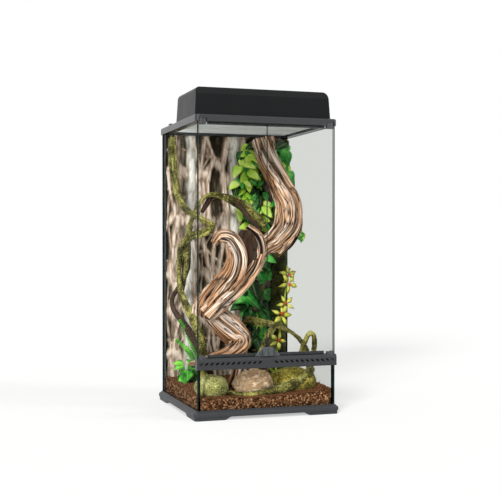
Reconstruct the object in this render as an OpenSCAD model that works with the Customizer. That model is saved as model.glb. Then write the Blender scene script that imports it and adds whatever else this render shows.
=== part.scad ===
// Tall planted terrarium with two glass doors, a screen lid and a lighting hood.
// Millimetres. X is the width, Y the depth with the doors at the negative side, Z is up from the feet.

/* [Glass box] */
// Outer width of the glass box
tank_w = 450; // [380:5:520]
// Outer depth of the glass box
tank_d = 450; // [400:5:520]
// Height of the side and back panes
pane_h = 900; // [840:5:960]
// Thickness of the glass
glass_t = 4; // [3:0.5:5]
// Width of the silicone along the rear edge of each side pane
seam_w = 30; // [20:1:34]
// Thickness of that silicone
seam_t = 2; // [1:0.5:3]
// Leg of the silicone bead in the lower front corners
front_seam = 7; // [4:1:9]

/* [Base frame] */
// How far the base stands proud of the glass
base_lip = 12; // [8:1:16]
// Height of the base with its feet
base_h = 30; // [26:1:40]
// Height of the feet under the rim
foot_h = 10; // [6:1:12]
// Length of each foot along its side
foot_len = 95; // [60:5:140]
// Length of the curve that ends a foot
foot_curve = 26; // [14:1:40]
// Height of the ledge that carries the panes
pane_seat = 15; // [13:1:20]
// Width of that ledge
ledge_w = 22; // [14:1:30]

/* [Top frame] */
// Height of the top frame
top_h = 22; // [20:1:28]
// How far the top frame stands proud of the glass
top_lip = 6; // [4:0.5:10]
// How deep the panes sit in the top frame
pane_grip = 7; // [5:0.5:8]
// Depth of the rear deck with the cable inlets
deck_d = 36; // [34:1:50]
// Height of the ledge that the lid rests on
lid_ledge_h = 5; // [3:0.5:6]
// Width of that ledge
lid_ledge_w = 15; // [8:1:20]

/* [Doors] */
// Gap between the two doors
door_gap = 2; // [1:0.5:4]
// Gap between a door and a side pane
side_gap = 1.5; // [1:0.25:2]
// Distance from the hinge pin to the inner face of the side pane
pin_inset = 8; // [8:0.25:11]
// Radius of a hinge pin
pin_r = 3; // [2:0.25:3.5]
// Running clearance of a hinge pin
pin_gap = 0.05; // [0.02:0.01:0.1]
// Length of a hinge clip
clip_len = 22; // [16:1:30]
// Height of the lower clip above the strip
clip_low_h = 9; // [8:1:16]
// Height of the upper clip below the top of the glass
clip_high_h = 8; // [6:1:14]
// Width of a door handle
handle_w = 39; // [30:1:48]
// Height of a door handle
handle_h = 28; // [20:1:36]
// How far a handle stands out
handle_t = 11; // [7:0.5:11.5]

/* [Ventilation strip] */
// Height of the strip
strip_h = 35; // [33:1:45]
// Height of its lower edge above the table
strip_z = 154; // [130:1:175]
// How far it stands in front of the glass
strip_lip = 10; // [6:0.5:11.5]
// How deep it reaches into the tank
strip_in = 16; // [14:1:18]
// Slots in each half
slot_count = 12; // [6:1:13]
// Length of a slot
slot_len = 12; // [6:0.5:13]
// Width of a slot
slot_w = 5; // [2.5:0.25:5.5]
// Slant of the slots
slot_tilt = 35; // [0:5:50]

/* [Screen lid] */
// Width of the lid's rails
rail_w = 14; // [10:1:20]
// Wires of the screen each way
mesh_gaps = 17; // [8:1:17]
// Thickness of the screen
mesh_t = 1; // [0.6:0.1:1.5]
// Width of a wire
wire_w = 1.6; // [1:0.1:2.5]
// Width of the crossbar
crossbar_w = 10; // [6:1:16]

/* [Hood] */
// Set-in of the hood from the glass at each side
hood_inset = 2; // [1:0.5:4]
// Depth of the hood at its foot
hood_d = 230; // [180:5:240]
// Height of the hood
hood_h = 90; // [80:1:120]
// Setback of the hood from the front of the glass
hood_set = 32; // [26:1:60]
// Wall of the hood
hood_wall = 2.5; // [1.5:0.25:4]
// Radius of the top end corners
hood_r = 16; // [6:1:22]
// Height of the bevel along the top front edge
bevel_h = 22; // [8:1:30]
// Depth of that bevel
bevel_d = 14; // [6:1:22]
// Lean of each wall from foot to top
hood_lean = 4; // [1:0.5:7]
// Radius of a bulb
bulb_r = 28; // [18:1:30]
// Length of a bulb in front of its holder
bulb_len = 96; // [60:2:120]
// Radius of a lampholder
holder_r = 19; // [16:1:24]
// Radius of the cord hole in the gland
cord_hole_r = 4; // [2.5:0.25:5]

/* [Furnishing] */
// Depth of the ground at the front, above the bottom pane
ground_h = 42; // [25:1:60]
// Rise of the ground to the back
ground_rise = 14; // [0:1:30]
// Thickness of the background behind its relief
back_t = 18; // [10:1:22]
// Height of the relief
relief_h = 16; // [6:1:18]
// Radius of the mossy column
column_r = 26; // [16:1:30]
// Length of an ivy leaf
leaf_len = 46; // [30:1:60]
// Span of an orchid flower
flower_d = 54; // [30:1:58]

/* [Hidden] */
$fn = 48;

// Clearance between fitted pieces
gap = 0.3;
hw = tank_w / 2;
hd = tank_d / 2;
in_w = hw - glass_t;
in_d = hd - glass_t;
floor_z = pane_seat + glass_t;
pane_top = pane_seat + pane_h;
top_z = pane_top - pane_grip;
rim_z = top_z + top_h;

// Top frame: the rails' inner faces, and the front of the rear deck
rail_in = 7;
rail_x = hw - rail_in;
rail_y = hd - rail_in;
deck_y = hd + top_lip - deck_d;
deck_t = 8;

// Doors
strip_top = strip_z + strip_h;
pane_bite = 8;
door_z = strip_top + 1.5;
door_top = top_z - 1.5;
door_out = in_w - side_gap;
pin_x = in_w - pin_inset;
clip_r = pin_inset - 1;
clip_in = pin_x + clip_r - clip_len;
boss_drop = 6;
notch_h = 10;
pin_len = 8;
stop_x = clip_in - 7;
stop_t = 5;
stop_y = -in_d + 2;
stop_h = 8;
catch_w = 30;

// Strip: its wall, the duct behind the slots, and where its sloping shoulder starts
strip_wall = 3;
duct_z = strip_z + 11;
duct_top = strip_top - 9;
shoulder_z = strip_top - 10;
shoulder_y = -hd - 5;
slot_z = strip_z + 18;

// Screen lid
lid_x = rail_x - 0.4;
lid_front = -rail_y + 0.4;
lid_back = deck_y - 0.4;
lid_z = top_z + lid_ledge_h;
lid_wall = 3;
lid_flange = 3;
lid_top = rim_z - 1;

// Lid locks and inlet shutters
lock_x = hw - rail_in + (rail_in + top_lip) / 2;
lock_y = 100;
screw_r = 2;
lock_len = 26;
lock_w = 9;
lock_t = 4;
shutter_x = 120;
shutter_len = 30;
shutter_w = 16;
shutter_t = 2;
shutter_travel = 22;
inlet_r = 6;

// Hood
hood_y = -hd + hood_set;
hood_rear = hood_y + hood_d;
hood_w = tank_w - 2 * hood_inset;
hood_top = rim_z + hood_h;
lamp_y = hood_y + hood_d / 2;
lamp_z = rim_z + hood_h * 0.45;
cap_r = 13;
cap_len = 22;
reflector_top = hood_top - hood_wall - 9;
sheet_t = 0.8;
post_x = 100;
gland_x = hood_w / 2 - 43;
mouth_x = hood_w / 2 - 45;
reflector_x = mouth_x - 7;
gland_z = rim_z + 22;

// The furnishing's routes are laid out for the inner space of a 450 x 450 x 900 glass box
laid_w = 221;
laid_d = 221;
laid_h = 889;
laid_floor = 19;
stretch = [in_w / laid_w, in_d / laid_d, (top_z - floor_z) / laid_h];
girth = (stretch[0] + stretch[1]) / 2;
function lay(p) =
  [p[0] * stretch[0], p[1] * stretch[1], floor_z + (p[2] - laid_floor) * stretch[2], p[3] * girth];
function laid(route) = [for (p = route) lay(p)];

// The relief starts over the ground, and reaches its height after a run
relief_from = 95;
relief_run = 50;

// Places and sizes of the low plants and mounds
plant_at = [-172, 96];
plant_size = [11, 11, 12];
plant_leaf = 36;
orchid_leaf = [70, 16];
orchid_leaf_rise = 24;
ball_at = [-158, -152, 90, 0];
ball_size = [52, 50, 38];
rock_at = [-8, -120, 88, 0];
rock_size = [66, 56, 48];
mound_at = [124, -112, 84, 0];
mound_size = [82, 62, 52];
function sized(v) = [v[0] * stretch[0], v[1] * stretch[1], v[2] * stretch[2]];

// How far a leaf's foot is set forward in its stem, as a share of the stem's thickness
leaf_set = 0.22;

// Routes: x, y, z and the thickness there
wood_arm = [[108, 138, 897, 78], [124, 122, 824, 80], [152, 84, 746, 84], [168, 36, 667, 92],
  [146, 4, 594, 94], [96, -18, 548, 76], [44, -42, 518, 58], [6, -60, 456, 56],
  [-52, -72, 396, 66], [-108, -76, 354, 72], [-158, -70, 310, 68]];
wood_coil = [[-128, -72, 540, 26], [-108, -86, 562, 40], [-76, -94, 548, 56], [-56, -96, 496, 72],
  [-70, -90, 440, 80], [-112, -74, 390, 82], [-152, -62, 346, 72], [-166, -56, 306, 56]];
wood_trunk = [[-150, -48, 352, 66], [-108, -42, 300, 82], [-64, -56, 256, 92], [-40, -76, 224, 74],
  [-76, -92, 192, 50], [-132, -84, 172, 38], [-204, -52, 152, 12]];
wood_foot = [[-46, -64, 240, 60], [-32, -54, 190, 46], [-38, -46, 130, 42], [-58, -42, 50, 52]];
wood_strand = [[178, 62, 700, 22], [194, 36, 650, 30], [190, 8, 596, 34], [154, -18, 540, 34],
  [108, -30, 500, 24]];
wood_ribbon = [[12, -60, 462, 30], [32, -64, 512, 34], [22, -66, 560, 30], [-14, -66, 592, 20]];
wood_web = [[-6, -60, 580, 56], [-8, -60, 545, 84], [-12, -62, 490, 90], [-24, -66, 430, 80]];

vine_left = [[-206, 150, 897, 20], [-206, 120, 783, 22], [-202, 60, 687, 24], [-182, 0, 636, 26],
  [-156, -50, 612, 26], [-138, -84, 590, 26], [-160, -58, 570, 26], [-186, -6, 560, 27],
  [-203, 44, 526, 28], [-204, 72, 476, 28], [-204, 76, 417, 28], [-198, 60, 364, 28],
  [-180, 24, 307, 28], [-158, 4, 249, 28], [-144, 0, 185, 29], [-136, 8, 60, 30]];
vine_arch = [[-178, 106, 440, 18], [-176, 110, 500, 20], [-162, 106, 590, 20], [-140, 92, 652, 20],
  [-114, 76, 692, 20], [-84, 64, 700, 20], [-50, 54, 688, 20], [-10, 48, 664, 20],
  [30, 34, 634, 20], [72, 12, 596, 20]];
vine_brown = [[-120, 96, 648, 12], [-108, 82, 672, 17], [-86, 84, 706, 17], [-50, 74, 708, 17],
  [-22, 66, 690, 17], [-4, 30, 656, 17], [24, 12, 616, 17], [56, 6, 580, 16]];
vine_right = [[32, 96, 278, 27], [80, 66, 271, 26], [126, 28, 259, 25], [164, -14, 237, 24],
  [190, -40, 204, 22], [200, -62, 160, 20], [202, -80, 60, 20]];
vine_branch = [[112, 30, 254, 22], [84, 2, 232, 26], [50, -34, 196, 26], [24, -56, 160, 26],
  [10, -62, 60, 28]];
vine_loop = [[144, -96, 96, 14], [152, -100, 156, 14], [166, -108, 206, 15], [181, -116, 242, 15],
  [196, -118, 240, 15], [202, -112, 208, 15], [200, -100, 160, 15], [192, -88, 96, 16]];
root_route = [[-128, -168, 82, 8], [-92, -184, 72, 12], [-44, -190, 66, 18], [7, -188, 72, 24],
  [77, -180, 84, 28], [136, -164, 104, 29], [176, -136, 128, 26], [196, -96, 120, 18]];
column_route = [[184, 156, 895, 1], [186, 160, 690, 1.08], [182, 160, 513, 0.94], [176, 158, 337, 1.06],
  [170, 154, 40, 1.1]];
orchid_stem = [[132, 66, 60, 9], [136, 70, 160, 7], [150, 74, 250, 6], [166, 78, 330, 6],
  [178, 84, 400, 5], [192, 88, 452, 4]];
ivy_stems = [[[120, 176, 60, 8], [112, 180, 240, 7], [120, 178, 430, 7], [100, 180, 600, 6],
    [120, 185, 760, 6], [96, 187, 890, 5]],
  [[112, 179, 250, 6], [76, 172, 330, 6], [64, 168, 430, 5], [84, 176, 520, 5], [102, 180, 590, 5]],
  [[100, 180, 600, 6], [60, 176, 660, 5], [46, 174, 760, 5], [62, 176, 860, 4]],
  [[184, 131, 560, 8], [187, 129, 680, 8], [186, 129, 790, 8], [188, 130, 890, 8]],
  [[186, 130, 640, 5], [200, 96, 622, 5], [208, 60, 592, 4], [204, 34, 566, 4]]];
fern_leaves = [[[-134, 64, 70, 8], [-140, 68, 150, 16], [-160, 84, 218, 22], [-198, 100, 284, 4]],
  [[-132, 68, 70, 7], [-142, 84, 120, 13], [-164, 104, 176, 17], [-204, 122, 214, 4]],
  [[-130, 66, 70, 6], [-118, 84, 130, 12], [-112, 110, 190, 14], [-118, 140, 236, 4]]];

// Smooth curve through four points, at t from the second to the third
function glide(a, b, c, d, t) =
  0.5 * (2 * b + (c - a) * t + (2 * a - 5 * b + 4 * c - d) * t ^ 2 + (3 * b - a - 3 * c + d) * t ^ 3);
function smooth(p, n) = let (m = len(p) - 1)
  concat([for (i = [0 : m - 1], k = [0 : n - 1])
      glide(p[max(i - 1, 0)], p[i], p[i + 1], p[min(i + 2, m)], k / n)], [p[m]]);
function spot(p) = [p[0], p[1], p[2]];
function unit(v) = v / norm(v);
function along(p, k) = unit(spot(p[min(k + 1, len(p) - 1)]) - spot(p[max(k - 1, 0)]));

// One ring of a rope: round the point p, square to t, with lobes as count, depth and twist for each ring
function ring(p, t, k, sides, lobes, flat) =
  let (u = unit(cross(t, [0, 1, 0])), v = cross(t, u))
    [for (j = [0 : sides - 1])
        let (a = 360 * j / sides,
          swell = 1 + bulge(lobes, a, k))
          spot(p) + p[3] / 2 * swell * (u * cos(a) + v * sin(a) * flat)];
function bulge(lobes, a, k, i = 0) =
  i >= len(lobes) ? 0 : lobes[i][1] * cos(lobes[i][0] * a + lobes[i][2] * k) + bulge(lobes, a, k, i + 1);

// A closed tube along a route: each ring joins the next, and a point closes each end
module rope(route, sides, steps, lobes = [], flat = 1) {
  path = smooth(route, steps);
  last = len(path) - 1;
  rings = [for (k = [0 : last]) each ring(path[k], along(path, k), k, sides, lobes, flat)];
  a0 = (last + 1) * sides;
  walls = [for (k = [0 : last - 1], j = [0 : sides - 1])
      let (j2 = (j + 1) % sides, b = k * sides, c = b + sides)
        each [[b + j, c + j, b + j2], [b + j2, c + j, c + j2]]];
  starts = [for (j = [0 : sides - 1]) [a0, j, (j + 1) % sides]];
  ends = [for (j = [0 : sides - 1]) [a0 + 1, last * sides + (j + 1) % sides, last * sides + j]];
  polyhedron(concat(rings, [spot(path[0]), spot(path[last])]), concat(walls, starts, ends));
}

// Joins limbs that cross into one skin
module joined() { resize([0, 0, 0]) children(); }

// An uneven slab from z = 0 up to top(x, y), centred in x and y
module relief(w, d, nx, ny, top) {
  n = nx + 1;
  grid = [for (j = [0 : ny], i = [0 : nx])
      let (x = w * (i / nx - 0.5), y = d * (j / ny - 0.5)) [x, y, top(x, y)]];
  edge = concat([for (i = [0 : nx - 1]) i], [for (j = [0 : ny - 1]) j * n + nx],
    [for (i = [nx : -1 : 1]) ny * n + i], [for (j = [ny : -1 : 1]) j * n]);
  m = len(edge);
  under = [for (e = edge) [grid[e][0], grid[e][1], 0]];
  b = len(grid);
  tops = [for (j = [0 : ny - 1], i = [0 : nx - 1])
      let (a = j * n + i) each [[a, a + n, a + 1], [a + 1, a + n, a + n + 1]]];
  sides = [for (k = [0 : m - 1])
      let (k2 = (k + 1) % m) each [[edge[k], edge[k2], b + k], [edge[k2], b + k2, b + k]]];
  floor = [for (k = [0 : m - 1]) [b + m, b + k, b + (k + 1) % m]];
  polyhedron(concat(grid, under, [[0, 0, 0]]), concat(tops, sides, floor));
}

// A rounded lump with a rough surface
module lump(at, size, rows, cols, rough) {
  rings = [for (i = [1 : rows - 1], j = [0 : cols - 1])
      let (t = 180 * i / rows, a = 360 * j / cols,
        s = 1 + rough * (cos(3 * a + 50 * i) + 0.6 * sin(5 * a - 70 * i)))
        [at[0] + size[0] * s * sin(t) * cos(a), at[1] + size[1] * s * sin(t) * sin(a),
          at[2] + size[2] * s * cos(t)]];
  n = len(rings);
  walls = [for (i = [0 : rows - 3], j = [0 : cols - 1])
      let (j2 = (j + 1) % cols, a = i * cols, b = a + cols)
        each [[a + j, a + j2, b + j], [a + j2, b + j2, b + j]]];
  cap = [for (j = [0 : cols - 1]) [n, (j + 1) % cols, j]];
  foot = [for (j = [0 : cols - 1]) [n + 1, n - cols + j, n - cols + (j + 1) % cols]];
  polyhedron(concat(rings, [[at[0], at[1], at[2] + size[2]], [at[0], at[1], at[2] - size[2]]]),
    concat(walls, cap, foot));
}

// A thin leaf from its stalk at the origin along +X, thickest at the middle
module leaf(size, broad, thick, simple = false) {
  edge = simple ? [[0, 0], [0.45, 0.5], [1, 0], [0.45, -0.5]]
    : [[0, 0], [0.22, 0.42], [0.5, 0.5], [0.78, 0.3], [1, 0], [0.78, -0.3], [0.5, -0.5], [0.22, -0.42]];
  n = len(edge);
  rim = [for (e = edge) [e[0] * size, e[1] * broad, -abs(e[1]) * broad * 0.25]];
  polyhedron(concat(rim, [[size * 0.45, 0, thick], [size * 0.45, 0, -thick]]),
    [for (k = [0 : n - 1]) each [[n, k, (k + 1) % n], [n + 1, (k + 1) % n, k]]]);
}

// Four straight walls and four turned corners of one profile, drawn outwards from the corners' centres
module rim(half_w, half_d, r, profile) {
  for (s = [0, 1]) {
    rotate([0, 0, 180 * s])
      translate([half_w - r, 0, 0])
        rotate([90, 0, 0])
          linear_extrude(2 * (half_d - r), center = true) polygon(profile);
    rotate([0, 0, 180 * s + 90])
      translate([half_d - r, 0, 0])
        rotate([90, 0, 0])
          linear_extrude(2 * (half_w - r), center = true) polygon(profile);
  }
  for (k = [0 : 3])
    translate([(k == 0 || k == 3 ? 1 : -1) * (half_w - r), (k < 2 ? 1 : -1) * (half_d - r), 0])
      rotate([0, 0, 90 * k])
        rotate_extrude(angle = 90) polygon(profile);
}

// A flat square frame from z0 to z1
module band(x_out, y_out, x_in, y_in, z0, z1) {
  translate([0, 0, z0])
    difference() {
      translate([-x_out, -y_out, 0]) cube([2 * x_out, 2 * y_out, z1 - z0]);
      translate([-x_in, -y_in, -1]) cube([2 * x_in, 2 * y_in, z1 - z0 + 2]);
    }
}

// A box between two corners
module box(a, b) { translate(a) cube(b - a); }

// The space between two feet, with an S-curve at each end
function foot_arch(half) = let (e = half - foot_len, n = 10)
  concat([[e, -1]], [for (k = [0 : n]) [e - foot_curve * k / n, foot_h * (1 - cos(180 * k / n)) / 2]],
    [for (k = [n : -1 : 0]) [-e + foot_curve * k / n, foot_h * (1 - cos(180 * k / n)) / 2]], [[-e, -1]]);

module base_frame() {
  color("#45484a") {
    rim(hw + base_lip, hd + base_lip, base_lip,
      [[0, foot_h], [base_lip - 2, foot_h], [base_lip, foot_h + 2], [base_lip, base_h - 9],
        [base_lip - 1.5, base_h - 7], [1, base_h], [0, base_h]]);
    band(hw, hd, hw - ledge_w, hd - ledge_w, foot_h, pane_seat);
    difference() {
      union() {
        rim(hw + base_lip, hd + base_lip, base_lip,
          [[0, 0], [base_lip - 4, 0], [base_lip - 3, 1], [base_lip - 3, foot_h], [0, foot_h]]);
        band(hw, hd, hw - ledge_w / 2, hd - ledge_w / 2, 0, foot_h);
      }
      rotate([90, 0, 0]) linear_extrude(2 * tank_d, center = true) polygon(foot_arch(hw + base_lip));
      rotate([90, 0, 90]) linear_extrude(2 * tank_w, center = true) polygon(foot_arch(hd + base_lip));
    }
  }
}

module bottom_pane() { color("#cfe0da", 0.4) box([-in_w, -in_d, pane_seat], [in_w, in_d, floor_z]); }
module side_pane(s) {
  color("#cfe0da", 0.3)
    translate([s > 0 ? in_w : -hw, -hd, pane_seat]) cube([glass_t, tank_d, pane_h]);
}
module left_pane() { side_pane(-1); }
module right_pane() { side_pane(1); }
module back_pane() { color("#cfe0da", 0.3) box([-in_w, in_d, pane_seat], [in_w, hd, pane_top]); }
module front_lower_pane() {
  color("#cfe0da", 0.3) box([-in_w, -hd, pane_seat], [in_w, -in_d, strip_z + pane_bite]);
}

module silicone_seams() {
  color("#0c0d0d")
    for (s = [0, 1]) mirror([s, 0, 0]) {
      box([in_w - seam_t, in_d - seam_w, floor_z], [in_w, in_d, top_z]);
      translate([in_w, -in_d, floor_z])
        linear_extrude(strip_z - floor_z)
          polygon([[0, 0], [0, front_seam], [-front_seam * 0.3, front_seam * 0.3], [-front_seam, 0]]);
    }
}

// Slots lean away from the middle of the strip
module slot() {
  rotate([0, slot_tilt, 0])
    rotate([90, 0, 0])
      linear_extrude(2 * strip_wall + 2, center = true) {
        square([slot_len - slot_w, slot_w], center = true);
        for (e = [-1, 1]) translate([e * (slot_len - slot_w) / 2, 0]) circle(d = slot_w);
      }
}

module vent_strip() {
  front = -hd - strip_lip;
  rear = -hd + strip_in;
  slot_first = 27;
  slot_step = (hw - 10 - slot_first) / (slot_count - 1);
  color("#48484c") {
    difference() {
      union() {
        rotate([90, 0, 90])
          linear_extrude(tank_w + 2 * strip_wall, center = true)
            polygon([[-hd, strip_z], [front + 1, strip_z], [front, strip_z + 2], [front, strip_z + 4],
              [front + 0.8, strip_z + 5], [front + 0.8, shoulder_z - 1], [front, shoulder_z],
              [front + 0.8, shoulder_z + 1.5], [shoulder_y, strip_top], [-hd, strip_top]]);
        box([-in_w + gap, -hd - 1, strip_z], [in_w - gap, rear, strip_top]);
        for (s = [0, 1]) mirror([s, 0, 0])
          box([hw + gap, -hd - 1, strip_z], [hw + strip_wall, rear, strip_top]);
      }
      box([-in_w, -hd, strip_z - 1], [in_w, -in_d + gap, strip_z + pane_bite]);
      box([-stop_x - 9, front + strip_wall, duct_z], [stop_x + 9, rear - strip_wall, duct_top]);
      box([-hw + 6, front + strip_wall, duct_z], [hw - 6, -hd - pin_r - 1.5, duct_top]);
      box([-stop_x, rear - strip_wall - 1, duct_z + 3], [stop_x, rear + 1, duct_top - 3]);
      for (s = [0, 1]) mirror([s, 0, 0]) {
        for (k = [0 : slot_count - 1]) translate([slot_first + k * slot_step, front, slot_z]) slot();
        translate([pin_x, -hd, strip_top - boss_drop]) {
          cylinder(r = clip_r + gap, h = boss_drop + 1);
          translate([0, 0, -pin_len - 0.5]) cylinder(r = pin_r + pin_gap, h = pin_len + 1);
          cube([in_w - pin_x, clip_r + gap, boss_drop + 1]);
        }
      }
    }
    for (s = [0, 1]) mirror([s, 0, 0])
      box([catch_w / 2 + 1, stop_y, strip_top], [stop_x, stop_y + stop_t, strip_top + 10]);
  }
}

module vent_gauze() {
  rear = -hd + strip_in - strip_wall;
  color("#8a8d8f")
    box([-stop_x - 4, rear - 0.8, duct_z + 1], [stop_x + 4, rear, duct_top - 1]);
}

// Sprung tongues behind the meeting edge of the doors
module door_catch() {
  color("#55585a") {
    box([-catch_w / 2, -in_d + 2, strip_top], [catch_w / 2, -in_d + 8, strip_top + 4]);
    for (s = [0, 1]) mirror([s, 0, 0])
      translate([3, 0, 0])
        rotate([90, 0, 90])
          linear_extrude(catch_w / 2 - 5)
            polygon([[stop_y, strip_top + 3], [stop_y, strip_top + 9], [-in_d + gap, strip_top + 11],
              [-in_d + gap, strip_top + 13], [stop_y + 1, strip_top + 15], [stop_y + 2, strip_top + 15],
              [stop_y + 2, strip_top + 3]]);
  }
}

module top_frame() {
  lip = top_lip + rail_in;
  color("#45484a") {
    difference() {
      union() {
        rim(hw + top_lip, hd + top_lip, lip,
          [[0, top_z], [lip - 1, top_z], [lip, top_z + 1], [lip, rim_z - 4], [lip - 1.2, rim_z - 1.2],
            [lip - 4, rim_z], [0, rim_z]]);
        difference() {
          band(rail_x, rail_y, rail_x - lid_ledge_w, rail_y - lid_ledge_w, top_z, lid_z);
          box([-tank_w, deck_y, 0], [tank_w, tank_d, rim_z]);
        }
        box([-rail_x, deck_y - lid_ledge_w, top_z], [rail_x, deck_y, lid_z]);
        box([-rail_x, deck_y, rim_z - deck_t], [rail_x, rail_y, rim_z]);
        box([-rail_x, deck_y, top_z], [rail_x, deck_y + 3, rim_z - deck_t]);
        for (k = [-3 : 3])
          translate([k * 62, 0, 0]) box([-1, deck_y + 3, top_z + 4], [1, rail_y, rim_z - deck_t]);
        box([-stop_x, stop_y, top_z - stop_h], [stop_x, stop_y + stop_t, top_z + 1]);
      }
      for (s = [0, 1]) mirror([s, 0, 0]) {
        box([in_w - gap, -hd - gap, top_z - 1], [hw + gap, hd + gap, pane_top + 0.5]);
        box([clip_in - 2, -tank_d, top_z - 1], [in_w - gap, -hd + clip_r + 1.5, top_z + notch_h]);
        translate([pin_x, -hd, top_z + notch_h - 1]) cylinder(r = pin_r + pin_gap, h = pin_len + 1.5);
        translate([lock_x, lock_y, rim_z - 8]) cylinder(r = screw_r, h = 9);
        shutter_seat();
      }
      box([-hw, in_d - gap, top_z - 1], [hw, hd + gap, pane_top + 0.5]);
    }
  }
}

// Channel with two lips that hold a shutter, and the round inlet under it
module shutter_seat() {
  y0 = (deck_y + rail_y) / 2;
  x0 = shutter_x - shutter_len / 2 - gap;
  x1 = shutter_x + shutter_len / 2 + shutter_travel + gap;
  box([x0, y0 - shutter_w / 2 - gap, rim_z - 4.3], [x1, y0 + shutter_w / 2 + gap, rim_z - 2]);
  box([x0, y0 - shutter_w / 2 + 2, rim_z - 3], [x1, y0 + shutter_w / 2 - 2, rim_z + 1]);
  translate([shutter_x, y0, rim_z - deck_t - 1]) cylinder(r = inlet_r, h = deck_t + 2);
}
module inlet_shutter(s) {
  y0 = (deck_y + rail_y) / 2;
  color("#3a3d3f")
    mirror([s, 0, 0])
      translate([shutter_x, y0, rim_z - 4.3]) {
        translate([-shutter_len / 2, -shutter_w / 2, 0]) cube([shutter_len, shutter_w, shutter_t]);
        translate([-shutter_len / 2, -shutter_w / 2 + 2 + gap, 0])
          cube([shutter_len, shutter_w - 4 - 2 * gap, 4]);
        for (k = [-1 : 1])
          translate([k * 5 - 1, -shutter_w / 2 + 4, 0]) cube([2, shutter_w - 8, 5]);
      }
}
module inlet_shutter_left() { inlet_shutter(1); }
module inlet_shutter_right() { inlet_shutter(0); }

// Swivel tab over the edge of the lid, shown turned away so that the lid can lift
module lid_lock(s) {
  color("#2c2e30")
    mirror([s, 0, 0])
      translate([lock_x, lock_y, rim_z])
        difference() {
          linear_extrude(lock_t) {
            circle(d = lock_w);
            translate([-lock_w / 2, 0]) square([lock_w, lock_len - lock_w]);
            translate([0, lock_len - lock_w]) circle(d = lock_w);
          }
          translate([0, 0, -1]) cylinder(r = screw_r + pin_gap, h = lock_t + 2);
        }
}
module lid_lock_left() { lid_lock(1); }
module lid_lock_right() { lid_lock(0); }
module lock_screws() {
  color("silver")
    for (s = [0, 1]) mirror([s, 0, 0])
      translate([lock_x, lock_y, rim_z]) {
        translate([0, 0, -8]) cylinder(r = screw_r, h = 8 + lock_t + 0.2);
        translate([0, 0, lock_t + 0.1]) cylinder(r1 = screw_r * 2, r2 = screw_r * 1.5, h = 1.6);
      }
}

module door_glass(s) {
  color("#d5e6e0", 0.25)
    mirror([s, 0, 0]) box([door_gap / 2, -hd, door_z], [door_out, -in_d, door_top]);
}
module left_door_glass() { door_glass(1); }
module right_door_glass() { door_glass(0); }

// Outline of a hinge clip: a barrel round the pin and two jaws towards the glass
module clip_outline() {
  translate([pin_x, -hd]) circle(r = clip_r);
  translate([clip_in, -hd - glass_t]) square([pin_x - clip_in, glass_t + clip_r]);
}
module lower_clip(s) {
  boss_z = strip_top - boss_drop + gap;
  clip_z = strip_top + gap;
  clip_top = door_z + clip_low_h;
  crown = 2;
  color("#6c7073")
    mirror([s, 0, 0]) {
      difference() {
        union() {
          box([clip_in, -hd - glass_t, clip_z], [pin_x, -hd + clip_r, clip_top - crown]);
          translate([pin_x, -hd, boss_z]) cylinder(r = clip_r, h = clip_top - crown - boss_z);
          translate([pin_x, -hd, clip_top - crown]) cylinder(r1 = clip_r, r2 = clip_r - crown, h = crown);
        }
        box([clip_in - 1, -hd, door_z], [hw, -in_d, clip_top + 1]);
      }
      translate([pin_x, -hd, boss_z - pin_len]) cylinder(r = pin_r, h = pin_len + boss_drop);
    }
}
module upper_clip(s) {
  clip_top = top_z + notch_h - 0.5;
  color("#6c7073")
    mirror([s, 0, 0]) {
      difference() {
        translate([0, 0, door_top - clip_high_h])
          linear_extrude(clip_top - door_top + clip_high_h) clip_outline();
        box([clip_in - 1, -hd, door_top - clip_high_h - 1], [hw, -in_d, door_top]);
      }
      translate([pin_x, -hd, clip_top - 1]) cylinder(r = pin_r, h = pin_len + 1);
    }
}
module left_lower_clip() { lower_clip(1); }
module right_lower_clip() { lower_clip(0); }
module left_upper_clip() { upper_clip(1); }
module right_upper_clip() { upper_clip(0); }

// Clear grip bonded to the lower meeting corner of a door: a block and a ramp between ribs
module handle(s) {
  x0 = door_gap / 2;
  mid = x0 + handle_w * 0.33;
  color("#9a9ea0", 0.6)
    mirror([s, 0, 0])
      difference() {
        intersection() {
          translate([0, 0, door_z])
            rotate([90, 0, 0])
              linear_extrude(tank_d)
                polygon([[x0, 0], [x0 + handle_w, 0], [x0 + handle_w, 3], [mid + 2, handle_h - 2],
                  [mid, handle_h], [x0, handle_h]]);
          linear_extrude(pane_h)
            polygon([[x0, -hd], [x0 + handle_w, -hd], [x0 + handle_w, -hd - 3], [mid, -hd - handle_t],
              [x0, -hd - handle_t]]);
        }
        for (k = [0 : 2])
          translate([mid + 2.5 + 7 * k, -hd - handle_t - 1, door_z + 2])
            cube([5, handle_t - 1 - 2 * k, handle_h]);
      }
}
module left_handle() { handle(1); }
module right_handle() { handle(0); }

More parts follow.
